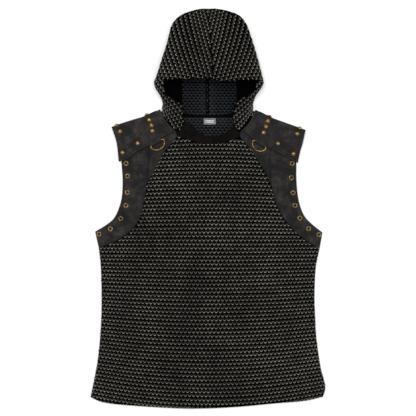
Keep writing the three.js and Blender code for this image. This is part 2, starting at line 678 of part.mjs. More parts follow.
function makeHood(side) {
  const apart = Math.sign(side.shoulder[1][0]) * SEAM_INSET;
  const edges = chain(curve(side.hoodSide, STRIP_ROWS), curve(side.hoodFlare, FLARE_ROWS),
    curve(side.hoodCrown, CROWN_ROWS));
  const ends = chain(curve(side.hoodOpening, STRIP_ROWS),
    curve(side.hoodBrim, FLARE_ROWS), curve(topSeam, CROWN_ROWS));
  const backs = chain(curve([[-2, NECK_Y], [-2, 285]], STRIP_ROWS), curve([[-2, 285], [-2, 312]], FLARE_ROWS),
    curve([[-2, 312], [-2, 400], [1, CROWN_Y]], CROWN_ROWS));
  const seamRow = STRIP_ROWS + FLARE_ROWS;
  const lastRow = seamRow + CROWN_ROWS;
  const grid = [];
  for (let j = 0; j < lastRow; j++) {
    const climb = smooth(0, 1, j / STRIP_ROWS);
    const crown = Math.max(0, (ends[j].y - frontEdgeMiddle[1]) / (CROWN_Y - frontEdgeMiddle[1]));
    const fall = j <= seamRow ? 1 : (1 - crown ** 1.7) ** 0.8;
    const rise = mix(CROWN_HEIGHT, mix(NECK_EDGE_RISE, HOOD_RISE, climb), fall);
    const sideRise = mix(CROWN_HEIGHT, mix(NECK_SIDE_RISE, HOOD_SIDE_RISE, climb), fall);
    const place = {
      back: backs[j].clone().add(new THREE.Vector2(apart, 0)),
      edge: edges[j],
      end: j < seamRow ? ends[j] : ends[j].clone().add(new THREE.Vector2(apart, 0)),
    };
    grid.push(hoodRow(side, place, rise, sideRise, KNIT / 2, NECK_BOW * (1 - climb)));
  }
  const crownPoint = new THREE.Vector3(1 + apart, CROWN_Y, CROWN_HEIGHT);
  grid.push(grid[0].map(() => crownPoint.clone()));
  const normals = gridNormals(grid);
  for (const row of normals.slice(seamRow)) row.at(-1).setX(0).normalize();
  add(`hood_${side.name}`, shell(grid, KNIT, normals), 'knit');
}

// ---------------------------------------------------------------- the whole top
makeBackPanel();
makeFrontPanel();
makeNeckband();
makeLabel();
for (const side of [left, right]) {
  makeArmhole(side);
  makeYoke(side);
  makeFlap(side);
  makeStrap(side);
  makeRing(side);
  makeStuds(side);
  makeEyelets(side);
  makeHood(side);
}

export default hauberk;
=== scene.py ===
# A hooded, sleeveless top in chainmail-look knit with leather shoulders, laid flat with its front up.
# Outlines and sizes are millimetres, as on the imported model; meshes are made in metres.
import json
from math import asin, atan2, ceil, cos, pi, radians, sin

import bpy
import numpy as np
from mathutils import Matrix, Vector
from mathutils.bvhtree import BVHTree


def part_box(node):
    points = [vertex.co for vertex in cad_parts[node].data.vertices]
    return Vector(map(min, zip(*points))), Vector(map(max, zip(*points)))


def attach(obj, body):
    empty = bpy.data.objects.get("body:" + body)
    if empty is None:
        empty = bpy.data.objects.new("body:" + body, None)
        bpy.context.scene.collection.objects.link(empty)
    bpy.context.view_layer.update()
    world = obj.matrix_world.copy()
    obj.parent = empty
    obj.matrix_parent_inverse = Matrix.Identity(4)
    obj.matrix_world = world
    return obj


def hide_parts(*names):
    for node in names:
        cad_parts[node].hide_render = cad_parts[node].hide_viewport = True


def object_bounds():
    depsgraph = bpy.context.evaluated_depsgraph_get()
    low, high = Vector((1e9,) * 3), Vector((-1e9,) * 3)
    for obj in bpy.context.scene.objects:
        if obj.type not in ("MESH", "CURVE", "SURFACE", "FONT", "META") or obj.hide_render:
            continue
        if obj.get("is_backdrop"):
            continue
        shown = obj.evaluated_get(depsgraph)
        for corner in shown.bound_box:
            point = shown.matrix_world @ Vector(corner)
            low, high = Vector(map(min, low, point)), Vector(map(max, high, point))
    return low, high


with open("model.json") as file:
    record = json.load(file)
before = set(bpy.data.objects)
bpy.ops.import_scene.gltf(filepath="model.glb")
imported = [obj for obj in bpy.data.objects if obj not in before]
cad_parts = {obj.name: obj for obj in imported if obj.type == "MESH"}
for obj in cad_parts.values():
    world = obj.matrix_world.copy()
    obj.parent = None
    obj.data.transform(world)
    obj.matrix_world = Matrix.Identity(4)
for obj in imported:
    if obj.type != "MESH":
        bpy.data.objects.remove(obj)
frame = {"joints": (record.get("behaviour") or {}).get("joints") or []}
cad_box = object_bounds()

MM = 0.001
random = np.random.default_rng(11)
scene = bpy.context.scene

# ---------------------------------------------------------------- camera, floor and light
LENS = 85
SENSOR = 36
VIEW_WIDTH = 990               # what the camera sees across the floor
VIEW_CENTRE = (0, 1.2)

camera_data = bpy.data.cameras.new("camera")
camera_data.lens = LENS
camera_data.sensor_width = SENSOR
camera = bpy.data.objects.new("camera", camera_data)
camera.location = (VIEW_CENTRE[0] * MM, VIEW_CENTRE[1] * MM, VIEW_WIDTH * MM * LENS / SENSOR)
scene.collection.objects.link(camera)
scene.camera = camera
scene.view_settings.view_transform = "Standard"


def area_light(name, place, size, power):
    data = bpy.data.lights.new(name, "AREA")
    data.energy = power
    data.size = size
    light = bpy.data.objects.new(name, data)
    light.location = place
    light.rotation_euler = (-Vector(place)).to_track_quat("-Z", "Y").to_euler()
    scene.collection.objects.link(light)


area_light("key_light", (-0.6, 0.9, 2.3), 1.8, 32)
area_light("fill_light", (1.3, 0.2, 2.1), 1.8, 16)
world = bpy.data.worlds.new("soft_white")
scene.world = world
world.use_nodes = True
world.node_tree.nodes["Background"].inputs["Color"].default_value = (1, 1, 1, 1)
world.node_tree.nodes["Background"].inputs["Strength"].default_value = 0.78


# ---------------------------------------------------------------- materials
class Finish:
    """A Principled material with helpers for its pattern nodes."""

    def __init__(self, name, roughness, metallic=0.0, specular=0.5, sheen=0.0):
        self.material = bpy.data.materials.new(name)
        self.material.use_nodes = True
        self.tree = self.material.node_tree
        self.shader = self.tree.nodes["Principled BSDF"]
        self.shader.inputs["Roughness"].default_value = roughness
        self.shader.inputs["Metallic"].default_value = metallic
        self.shader.inputs["Specular IOR Level"].default_value = specular
        self.shader.inputs["Sheen Weight"].default_value = sheen
        self.place = self.add("ShaderNodeTexCoord").outputs["Object"]

    def add(self, kind, **settings):
        node = self.tree.nodes.new(kind)
        for key, value in settings.items():
            setattr(node, key, value)
        return node

    def link(self, source, target):
        self.tree.links.new(source, target)

    def noise(self, scale, detail=4, stretch=(1, 1, 1)):
        mapping = self.add("ShaderNodeMapping")
        mapping.inputs["Scale"].default_value = stretch
        self.link(self.place, mapping.inputs["Vector"])
        node = self.add("ShaderNodeTexNoise")
        node.inputs["Scale"].default_value = scale
        node.inputs["Detail"].default_value = detail
        self.link(mapping.outputs["Vector"], node.inputs["Vector"])
        return node.outputs["Fac"]

    def cells(self, scale, feature="F1"):
        node = self.add("ShaderNodeTexVoronoi", feature=feature)
        node.inputs["Scale"].default_value = scale
        self.link(self.place, node.inputs["Vector"])
        return node.outputs["Distance"]

    def attribute(self, name):
        return self.add("ShaderNodeAttribute", attribute_name=name).outputs["Fac"]

    def ramp(self, factor, *stops):
        node = self.add("ShaderNodeValToRGB")
        elements = node.color_ramp.elements
        while len(elements) < len(stops):
            elements.new(0.5)
        for element, (position, colour) in zip(elements, stops):
            element.position = position
            element.color = (*colour, 1)
        self.link(factor, node.inputs["Fac"])
        return node.outputs["Color"]

    def blend(self, mode, factor, base, other):
        node = self.add("ShaderNodeMix", data_type="RGBA", blend_type=mode)
        if isinstance(factor, float):
            node.inputs[0].default_value = factor
        else:
            self.link(factor, node.inputs[0])
        self.link(base, node.inputs[6])
        self.link(other, node.inputs[7])
        return node.outputs[2]

    def darken(self, amount, base, pattern, low, high, shade):
        """Multiplies the base by a grey pattern, from shade at low to no change at high."""
        return self.blend("MULTIPLY", amount, base, self.ramp(pattern, (low, grey(shade)), (high, grey(1))))

    def scale_range(self, value, low, high, from_low=0, from_high=1):
        node = self.add("ShaderNodeMapRange")
        node.inputs["From Min"].default_value = from_low
        node.inputs["From Max"].default_value = from_high
        node.inputs["To Min"].default_value = low
        node.inputs["To Max"].default_value = high
        self.link(value, node.inputs["Value"])
        return node.outputs["Result"]

    def colour(self, source):
        self.link(source, self.shader.inputs["Base Color"])

    def roughness(self, value, low, high):
        self.link(self.scale_range(value, low, high), self.shader.inputs["Roughness"])

    def bumps(self, *layers):
        """Each layer is (height, strength, depth in millimetres)."""
        normal = None
        for height, strength, depth in layers:
            node = self.add("ShaderNodeBump")
            node.inputs["Strength"].default_value = strength
            node.inputs["Distance"].default_value = depth * MM
            self.link(height, node.inputs["Height"])
            if normal is not None:
                self.link(normal, node.inputs["Normal"])
            normal = node.outputs["Normal"]
        self.link(normal, self.shader.inputs["Normal"])


def grey(value, warmth=0.0):
    return (value * (1 + warmth), value, value * (1 - warmth))


def olive(value, warmth):
    return (value * (1 + warmth * 0.8), value * (1 + warmth * 0.25), value * (1 - warmth * 1.1))


def ground_finish():
    finish = Finish("knit_ground", 0.95, specular=0.02)
    fuzz = finish.noise(900, 3)
    patches = finish.noise(14, 3)
    base = finish.ramp(fuzz, (0.3, grey(0.0003)), (0.75, grey(0.0016, 0.05)))
    finish.colour(finish.darken(0.6, base, patches, 0.3, 0.7, 0.5))
    finish.bumps((fuzz, 0.5, 0.4), (finish.cells(420), 0.6, 0.5))
    return finish.material


def yarn_finish(name, dark, light, warmth, metallic, roughness):
    """Twisted yarn with painted light: brighter on its high loops, painted shade where it dips between them.
    """
    finish = Finish(name, roughness, metallic, specular=0.3)
    # painted light carried by each tube: high loops painted bright, dips painted dark
    loft = finish.attribute("loft")
    base = finish.ramp(loft, (0.0, olive(dark, warmth)), (0.5, olive((dark + light) * 0.27, warmth)),
                       (1.0, olive(light, warmth)))
    twist = finish.noise(1300, 2, (1, 1.6, 1))
    patches = finish.noise(9, 3, (1, 0.8, 1))
    loops = finish.noise(70, 2)
    base = finish.darken(0.75, base, twist, 0.3, 0.62, 0.35)
    base = finish.darken(0.8, base, patches, 0.35, 0.62, 0.5)
    base = finish.darken(0.8, base, loops, 0.35, 0.6, 0.45)
    finish.colour(base)
    finish.roughness(twist, roughness - 0.12, roughness + 0.15)
    finish.bumps((twist, 0.6, 0.35))
    return finish.material


def leather_finish():
    """Dark leather; above zero the wear-and-shade value rubs it pale, and below zero it is painted shade."""
    finish = Finish("leather", 0.6, specular=0.14)
    grain = finish.cells(650)
    creases = finish.cells(120, "DISTANCE_TO_EDGE")
    mottle = finish.noise(38, 5)
    cloud = finish.noise(9, 3)
    base = finish.ramp(mottle, (0.4, (0.0085, 0.0068, 0.0069)), (0.62, (0.05, 0.0405, 0.0395)))
    base = finish.darken(0.7, base, cloud, 0.4, 0.62, 0.5)
    # thin dark lines along two stretched noise contours: painted shade in creases
    for scale, stretch in ((26, (1, 0.4, 1)), (34, (0.45, 1, 1))):
        fold = finish.ramp(finish.noise(scale, 2, stretch), (0.47, grey(1)), (0.5, grey(0.3)),
                           (0.53, grey(1)))
        base = finish.blend("MULTIPLY", 0.55, base, fold)
    for scale in (85, 190):
        base = finish.darken(0.6, base, finish.noise(scale, 4), 0.42, 0.58, 0.4)
    worn = finish.ramp(finish.noise(160, 4), (0.3, (0.02, 0.017, 0.0165)), (0.7, (0.048, 0.041, 0.038)))
    wear = finish.attribute("wear")
    base = finish.blend("MIX", wear, base, worn)
    # painted shade: values below zero darken the leather in seams, and painted shadow darkens it under the
    # flap's edge
    base = finish.blend("MULTIPLY", 1.0, base, finish.scale_range(wear, 0.1, 1, -1, 0))
    base = finish.blend("MULTIPLY", 0.5, base, finish.ramp(grain, (0.0, grey(1)), (0.6, grey(0.45))))
    finish.colour(base)
    finish.roughness(mottle, 0.48, 0.75)
    finish.bumps((finish.noise(45, 4, (1, 0.6, 1)), 0.7, 2.2), (creases, 0.4, 0.6), (grain, 0.5, 0.35),
                 (finish.noise(260, 4), 0.4, 0.6))
    return finish.material


def rib_finish(name, dark, light):
    """Matt dark cloth with a fuzzy surface."""
    finish = Finish(name, 0.9, specular=0.03)
    fuzz = finish.noise(1100, 3)
    tone = finish.noise(60, 3)
    base = finish.ramp(tone, (0.3, dark), (0.7, light))
    finish.colour(finish.darken(0.6, base, fuzz, 0.3, 0.65, 0.45))
    finish.bumps((fuzz, 0.6, 0.4))
    return finish.material


def brass_finish(name, dark, middle, light):
    """Brass with dark tarnish in patches and fine scuffs."""
    finish = Finish(name, 0.34, 1.0)
    tarnish = finish.noise(330, 5)
    scuffs = finish.noise(2400, 2)
    base = finish.ramp(tarnish, (0.3, dark), (0.5, middle), (0.72, light))
    finish.colour(finish.darken(0.35, base, scuffs, 0.35, 0.6, 0.5))
    finish.roughness(tarnish, 0.46, 0.24)
    finish.bumps((scuffs, 0.2, 0.1), (tarnish, 0.2, 0.2))
    return finish.material


def label_finish():
    finish = Finish("woven_label", 0.85, specular=0.1)
    warp = finish.noise(1500, 2, (1, 5, 1))
    weft = finish.noise(1500, 2, (5, 1, 1))
    tone = finish.noise(70, 3)
    base = finish.ramp(tone, (0.3, (0.03, 0.032, 0.037)), (0.7, (0.085, 0.09, 0.098)))
    pale = finish.ramp(finish.noise(400, 3), (0.3, (0.4, 0.42, 0.44)), (0.7, (0.75, 0.77, 0.79)))
    base = finish.blend("MIX", finish.attribute("wear"), base, pale)
    finish.colour(finish.darken(0.6, base, warp, 0.35, 0.6, 0.55))
    finish.bumps((warp, 0.5, 0.2), (weft, 0.5, 0.2))
    return finish.material


def thread_finish():
    finish = Finish("stitch_thread", 0.8, specular=0.05)
    twist = finish.noise(1800, 2)
    finish.colour(finish.ramp(twist, (0.3, (0.003, 0.0027, 0.0027)), (0.7, (0.012, 0.0105, 0.0105))))
    finish.bumps((twist, 0.5, 0.2))
    return finish.material


def floor_finish():
    finish = Finish("pale_floor", 0.9, specular=0.1)
    finish.colour(finish.ramp(finish.noise(3, 2), (0.3, grey(0.9)), (0.7, grey(0.93))))
    return finish.material


MATERIALS = {
    "ground": ground_finish(),
    "yarn": yarn_finish("metallic_yarn", 0.04, 0.35, 0.12, 0.3, 0.5),
    "link": yarn_finish("dull_yarn", 0.001, 0.02, 0.1, 0.05, 0.8),
    "slate": yarn_finish("reverse_yarn", 0.006, 0.026, -0.3, 0.0, 0.85),
    "leather": leather_finish(),
    "rib": rib_finish("neckband", (0.003, 0.0022, 0.0022), (0.008, 0.0058, 0.0056)),
    "seam": rib_finish("seam_tape", (0.0008, 0.0007, 0.0007), (0.0028, 0.0024, 0.0024)),
    "brass": brass_finish("antique_brass", (0.07, 0.04, 0.012), (0.29, 0.175, 0.055), (0.56, 0.37, 0.14)),
    "eyelet": brass_finish("dark_brass", (0.03, 0.02, 0.01), (0.12, 0.082, 0.038), (0.3, 0.215, 0.11)),
    "label": label_finish(),
    "thread": thread_finish(),
    "floor": floor_finish(),
}


# ---------------------------------------------------------------- meshes
def build(name, points, faces, finish, body="garment", slot="knit", **attributes):
    """Makes a smooth mesh piece of quads from points in millimetres, riding on a CAD body."""
    points = np.asarray(points, float)
    faces = np.asarray(faces, np.int32)
    mesh = bpy.data.meshes.new(name)
    mesh.vertices.add(len(points))
    mesh.vertices.foreach_set("co", (points * MM).ravel())
    mesh.loops.add(faces.size)
    mesh.loops.foreach_set("vertex_index", faces.ravel())
    mesh.polygons.add(len(faces))
    mesh.polygons.foreach_set("loop_start", np.arange(0, faces.size, 4, dtype=np.int32))
    mesh.update(calc_edges=True)
    mesh.validate()
    mesh.polygons.foreach_set("use_smooth", np.ones(len(mesh.polygons), bool))
    for key, values in attributes.items():
        mesh.attributes.new(key, "FLOAT", "POINT").data.foreach_set("value", np.asarray(values, np.float32))
    mesh.materials.append(MATERIALS[finish])
    piece = bpy.data.objects.new(name, mesh)
    scene.collection.objects.link(piece)
    if body:
        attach(piece, body)
    return piece


def weld(piece, distance=0.01):
    """Joins points that meet, as at a pole, and drops the faces that vanish there."""
    modifier = piece.modifiers.new("weld", "WELD")
    modifier.merge_threshold = distance * MM
    apply_modifiers(piece)


def apply_modifiers(piece):
    graph = bpy.context.evaluated_depsgraph_get()
    mesh = bpy.data.meshes.new_from_object(piece.evaluated_get(graph))
    piece.modifiers.clear()
    piece.data = mesh


def grid_faces(rows, columns, first=0, turn_round=False):
    """Quads of a grid of points; turn_round joins each row's last point to its first."""
    j = np.arange(rows - 1)[:, None]
    i = np.arange(columns if turn_round else columns - 1)[None, :]
    after = (i + 1) % columns
    corners = [j * columns + i, j * columns + after, (j + 1) * columns + after, (j + 1) * columns + i]
    return first + np.stack([np.broadcast_to(c, (rows - 1, i.size)) for c in corners], -1).reshape(-1, 4)


def unit(vectors):
    return vectors / np.maximum(np.linalg.norm(vectors, axis=-1, keepdims=True), 1e-9)


def mix(a, b, share):
    return a + (b - a) * share


def smooth(low, high, value):
    share = np.clip((value - low) / (high - low), 0, 1)
    return share * share * (3 - 2 * share)


def bell(value, middle, width):
    return np.exp(-((value - middle) / width) ** 2)


def flat_at(height):
    """The height function of a layer that lies level."""
    return lambda x, y: np.full_like(x, height)


def box_mm(body):
    """Lowest and highest corner of a CAD body."""
    return [np.array(corner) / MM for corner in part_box(body)]


# ---------------------------------------------------------------- plan curves and patches
def spline(points, shares):
    """Points at even-length shares of the smooth curve through given points."""
    p = np.array(points, float)
    last = len(p) - 1
    t = np.linspace(0, last, 60 * last + 1)
    k = np.minimum(t.astype(int), last - 1)
    w = (t - k)[:, None]
    before, start, end, after = p[np.maximum(k - 1, 0)], p[k], p[k + 1], p[np.minimum(k + 2, last)]
    leave, arrive = (end - before) / 2, (after - start) / 2
    fine = ((2 * start - 2 * end + leave + arrive) * w ** 3
            + (3 * end - 3 * start - 2 * leave - arrive) * w ** 2 + leave * w + start)
    length = np.concatenate([[0], np.cumsum(np.linalg.norm(np.diff(fine, axis=0), axis=1))])
    wanted = np.asarray(shares, float) * length[-1]
    return np.stack([np.interp(wanted, length, fine[:, axis]) for axis in range(fine.shape[1])], -1)


def joined(shares, *parts):
    """One edge made of several splines, each given as (points, weight of its stretch)."""
    shares = np.asarray(shares, float)
    total = sum(weight for _, weight in parts)
    out = np.zeros((len(shares), 2))
    start = 0
    for n, (points, weight) in enumerate(parts):
        inside = (shares >= start / total - 1e-9) if n else np.ones(len(shares), bool)
        out[inside] = spline(points, np.clip((shares[inside] * total - start) / weight, 0, 1))
        start += weight
    return out


def coons(bottom, top, start, end, u, v):
    """A plan patch blended between four edges; rows follow v, columns follow u."""
    u, v = u[None, :, None], v[:, None, None]
    ruled = mix(bottom[None], top[None], v) + mix(start[:, None], end[:, None], u)
    return ruled - mix(mix(bottom[0], bottom[-1], u), mix(top[0], top[-1], u), v)


RIM = np.array([0, 0.4, 1.0, 1.9, 2.9, 3.8, 4.5, 5.0, 5.5, 6.2, 7.6])   # finer steps just inside an edge


def fine_shares(length, step, start=True, end=True):
    low = RIM if start else RIM[:1]
    high = RIM if end else RIM[:1]
    middle = np.linspace(low[-1], length - high[-1], max(2, ceil((length - low[-1] - high[-1]) / step) + 1))
    return np.concatenate([low[:-1], middle, length - high[::-1][1:]]) / length


def nearest(points, targets):
    """Distance from each plan point to the closest of the targets."""
    flat = points.reshape(-1, points.shape[-1])
    gaps = [np.linalg.norm(targets[None] - part[:, None], axis=-1).min(1)
            for part in np.array_split(flat, max(1, len(flat) // 2000))]
    return np.concatenate(gaps).reshape(points.shape[:-1])


def inside(outline, points):
    """Whether plan points lie inside a closed outline."""
    x, y = points[..., 0], points[..., 1]
    result = np.zeros(x.shape, bool)
    for (ax, ay), (bx, by) in zip(outline, np.roll(outline, -1, axis=0)):
        crosses = (ay > y) != (by > y)
        if crosses.any():
            result ^= crosses & (x < (bx - ax) * (y - ay) / (by - ay + 1e-12) + ax)
    return result


# ---------------------------------------------------------------- cloth shells
class Sheet:
    """A grid of middle points with outward normals and the shares of its columns and rows."""

    def __init__(self, points, u, v, outward_up=True):
        if outward_up and normals_of(points)[..., 2].mean() < 0:
            points, u = points[:, ::-1], 1 - u[::-1]
        self.points, self.u, self.v = points, u, v
        self.normals = normals_of(points)

    def at(self, u, v):
        """Middle points and normals at shares u and v."""
        row = np.interp(v, self.v, np.arange(len(self.v)))
        column = np.interp(u, self.u, np.arange(len(self.u)))
        j = np.minimum(row.astype(int), len(self.v) - 2)
        i = np.minimum(column.astype(int), len(self.u) - 2)
        a, b = (row - j)[:, None], (column - i)[:, None]

        def pick(grid):
            return mix(mix(grid[j, i], grid[j, i + 1], b), mix(grid[j + 1, i], grid[j + 1, i + 1], b), a)

        return pick(self.points), unit(pick(self.normals))


def normals_of(points):
    return unit(np.cross(np.gradient(points, axis=1), np.gradient(points, axis=0)))


EDGE_THINNING = [0.3, 0.72, 0.94]      # share of the thickness on the outermost rings of points


def edge_profile(shape):
    rows, columns = shape
    j, i = np.indices(shape)
    ring = np.minimum(np.minimum(j, rows - 1 - j), np.minimum(i, columns - 1 - i))
    return np.interp(ring, range(len(EDGE_THINNING) + 1), [*EDGE_THINNING, 1])


def shell(name, sheet, upper, lower, finish, slot, wear=None, relief=0):
    """A closed wall of cloth from upper above the sheet to lower below it, thinner at its edges."""
    rows, columns = sheet.points.shape[:2]
    profile = edge_profile((rows, columns))
    centre = (upper - lower) / 2
    half = (upper + lower) / 2 * profile
    top = sheet.points + sheet.normals * (centre + half + relief * profile)[..., None]
    bottom = sheet.points + sheet.normals * (centre - half)[..., None]
    count = rows * columns
    index = np.arange(count).reshape(rows, columns)
    border = np.concatenate([index[0, :-1], index[:-1, -1], index[-1, :0:-1], index[:0:-1, 0]])
    onward = np.roll(border, -1)
    sides = np.stack([onward, border, border + count, onward + count], -1)
    faces = np.concatenate([grid_faces(rows, columns), grid_faces(rows, columns, count)[:, ::-1], sides])
    values = np.zeros(2 * count) if wear is None else np.concatenate([wear.ravel(), wear.ravel()])
    return build(name, np.concatenate([top.reshape(-1, 3), bottom.reshape(-1, 3)]), faces, finish,
                 slot=slot, wear=values)


# ---------------------------------------------------------------- yarns and stitches
def tubes(name, runs, finish, slot="knit", body="garment", sides=4):
    """Closed tubes of oval section. Each run is (centres, normals, half widths, half heights, painted light).
    """
    points, faces, loft = [], [], []
    first = 0
    around = np.arange(sides) * 2 * pi / sides
    for centres, normals, widths, heights, tones in runs:
        along = unit(np.gradient(centres, axis=0))
        across = unit(np.cross(normals, along))
        up = np.cross(along, across)
        ring = (centres[:, None] + across[:, None] * (widths[:, None] * np.cos(around))[..., None]
                + up[:, None] * (heights[:, None] * np.sin(around))[..., None])
        count = len(centres)
        points.append(ring.reshape(-1, 3))
        loft.append(np.repeat(tones, sides))
        faces.append(grid_faces(count, sides, first, turn_round=True)[:, ::-1])
        for k in range(1, sides - 1, 2):
            cap = np.array([0, k, k + 1, (k + 2) % sides])
            faces.append(first + cap[None, ::-1])
            faces.append(first + (count - 1) * sides + cap[None])
        first += count * sides
    return build(name, np.concatenate(points), np.concatenate(faces), finish, body, slot,
                 loft=np.concatenate(loft))


ROW_SPACING = 9.5
PITCH = 9.8                    # from one loop of a row to the next
WAVE = 2.7                     # the row's rise and fall to each side of its line
WAVE_LEAN = 0.35               # how far its loops lean along the row


class Yarn:
    """Section of a row: half width and half height at its crests and at its loops, and its lift."""

    def __init__(self, crest, loop, lift, steps, wave=WAVE):
        self.crest, self.loop, self.lift, self.steps, self.wave = crest, loop, lift, steps, wave


FRONT_YARN = Yarn((0.72, 0.55), (0.98, 0.78), (0.05, 0.36), 8)
HOOD_YARN = Yarn((0.68, 0.52), (0.92, 0.76), (0.05, 0.36), 8, 3.0)
BACK_YARN = Yarn((0.75, 0.55), (1.0, 0.78), (0.05, 0.34), 6)
INNER_YARN = Yarn((1.7, 0.3), (3.0, 0.36), (1.05, 1.1), 6, 1.2)
INNER_SPACING = 6.4            # the reverse side's bars stand closer than the rows
REVERSE_REACH_BEFORE_PAINTED_SHADE = 62, 68           # and show this far to the left and right inside the hood; past it the bars are left off, so the black ground there is painted shade on the hood's inner side walls
LINK_SHAPE = [(0.9, 0.95, 0.5), (3.8, 0.9, 0.6), (7.2, 0.6, 0.35)]    # reach up, half width, half height


def split(mask):
    """Start and end of each unbroken stretch of true values."""
    padded = np.concatenate([[False], mask, [False]]).astype(int)
    steps = np.diff(padded)
    return zip(np.flatnonzero(steps == 1), np.flatnonzero(steps == -1))


def weave(lines, place, yarn, finish_end=None):
    """Runs of yarn along flat lines, and the links above their loops.

    A line is (origin, direction, length, phase). place turns flat points into middle points, normals and
    a mask of those on the cloth. finish_end may bend a run's ends, as over an edge.
    """
    rows, links = [], []
    for origin, direction, length, phase in lines:
        t = np.arange(0, length, PITCH / yarn.steps)
        base = origin + direction * t[:, None]
        across = np.array([-direction[1], direction[0]])
        angle = 2 * pi * (base @ direction) / PITCH + phase + random.normal(0, 0.12)
        drift = 0.3 * np.sin(t / 61 + random.uniform(0, 6)) + random.normal(0, 0.15)
        sway = np.cos(angle + WAVE_LEAN * np.sin(angle))
        points, normals, hit = place(base + across * (yarn.wave * sway + drift)[:, None])
        loop = (1 - sway) / 2
        for start, end in split(hit):
            if end - start < 4:
                continue
            part = slice(start, end)
            # the loop share lifts the yarn and also sets its painted light
            share = loop[part]
            centres = points[part] + normals[part] * mix(*yarn.lift, share)[:, None]
            run = [centres, normals[part], mix(yarn.crest[0], yarn.loop[0], share),
                   mix(yarn.crest[1], yarn.loop[1], share), share]
            rows.append(finish_end(*run) if finish_end else run)
        low = np.flatnonzero((loop[1:-1] >= loop[:-2]) & (loop[1:-1] > loop[2:]) & hit[1:-1]) + 1
        if len(low):
            links += link_points(base[low], across, drift[low], place, yarn)
    return rows, links


def link_points(bases, across, drift, place, yarn):
    """The short upright yarns that tie each loop to the crest of the row above."""
    levels = [place(bases + across * (drift - yarn.wave + reach)[:, None]) for reach, _, _ in LINK_SHAPE]
    widths = np.array([width for _, width, _ in LINK_SHAPE])
    heights = np.array([height for _, _, height in LINK_SHAPE])
    # painted light on the links: bright at the foot, painted shade up towards the row above
    tones = np.array([0.9, 0.7, 0.2])
    for k in range(len(bases)):
        if not all(hit[k] for _, _, hit in levels):
            continue
        points = np.array([level[0][k] for level in levels])
        normals = np.array([level[1][k] for level in levels])
        yield points + normals * (yarn.lift[0] - 0.05), normals, widths, heights, tones


def stitches(name, paths, length=2.5, gap=1.2, half_width=0.32, half_height=0.24):
    """Rows of sewn stitches. Each path is (points on the surface, normals)."""
    runs = []
    for points, normals in paths:
        travelled = np.concatenate([[0], np.cumsum(np.linalg.norm(np.diff(points, axis=0), axis=1))])
        for start in np.arange(gap, travelled[-1] - length, length + gap):
            at = start + np.array([0, 0.25, 0.75, 1]) * length
            centres = np.stack([np.interp(at, travelled, points[:, axis]) for axis in range(3)], -1)
            facing = unit(np.stack([np.interp(at, travelled, normals[:, axis]) for axis in range(3)], -1))
            arch = np.array([-0.12, 0.1, 0.1, -0.12])
            thin = np.array([0.5, 1, 1, 0.5])
            runs.append((centres + facing * arch[:, None], facing, half_width * thin, half_height * thin,
                         np.ones(4)))
    return tubes(name, runs, "thread", "leather")


# ---------------------------------------------------------------- outlines of the real pieces
KNIT = 2.4
LEATHER = 1.4
STRAP_LEATHER = 1.1
STRAP_WIDTH = 28
NECKBAND = 1.6
GAP = 0.3
BACK_INSET = 1.2               # the back panels stop this far inside the front's outline
FRONT_HEIGHT = KNIT + GAP
STACK_LIFT = LEATHER + GAP
FRONT_LIFT = 0.7
LIFT_START = 118
LIFT_END = 148
FLAP_HEIGHT = 6.3
FLAP_BACK_HEIGHT = LEATHER / 2
FLAP_BACK_REACH = 36
STRAP_HEIGHT = FLAP_HEIGHT + LEATHER / 2 + GAP + STRAP_LEATHER / 2
STRAP_FOLD_ANGLE = 100
FLAP_FOLD_RADIUS = (FLAP_HEIGHT - FLAP_BACK_HEIGHT) / 2
STRAP_FOLD_RADIUS = FLAP_FOLD_RADIUS + LEATHER / 2 + GAP + STRAP_LEATHER / 2
RING_RADIUS = 17.5
RING_WIRE = 2.6
RING_CORNER = 3
RING_JOINT = 0.4
RING_DROP = 1.6
RING_STEPS = 150               # points along the wire
LOOP_RADIUS = 2.25
LOOP_TAIL_ANGLE = -145
LOOP_TOP_ANGLE = 105
LOOP_LIFT = 1.6
STUD_RADIUS = 4.75
STUD_RISE = 3
FOLD_STUD_TILTS = (38, 15)     # degrees above level of the outer and inner stud on the shoulder fold
EYELET_RADIUS = 6.2
EYELET_BORE = 2.75
EYELET_BARREL = 3.7
EYELET_RIM = 0.8
HOOD_RISE = 46
HOOD_SIDE_RISE = 17
NECK_EDGE_RISE = 7
NECK_SIDE_RISE = 3.2
NECK_BOW = 8
CROWN_HEIGHT = 3.8
HOOD_ROUNDNESS = 2.5
FLARE_Y = 297
CROWN_Y = 475
NECK_Y = 219
NECK_RISE = 19
NECK_HALF_WIDTH = 108
BACK_SEAM_X = -2

HEM = [(-279, -448), (-246, -461), (-170, -469), (-50, -475.2), (60, -472), (160, -463), (230, -457),
       (273, -447)]
NECK_LINE = [(-73, 172), (-48, 165), (-19, 156), (7, 154), (29, 156), (52, 162), (75, 172)]
NECK_OPENING = [(-66, 222), (-56, 211), (-34, 193), (-13, 177), (7, 173), (36, 177), (58, 193), (71, 219)]
FRONT_EDGE_MIDDLE = (12, 304)
TOP_SEAM = [FRONT_EDGE_MIDDLE, (7, 385), (2, 455), (1, CROWN_Y)]


class Side:
    """One side's outlines, each running up or outward as on the pieces."""

    def __init__(self, name, sign, **outlines):
        self.name, self.sign = name, sign
        for key, points in outlines.items():
            setattr(self, key, points)


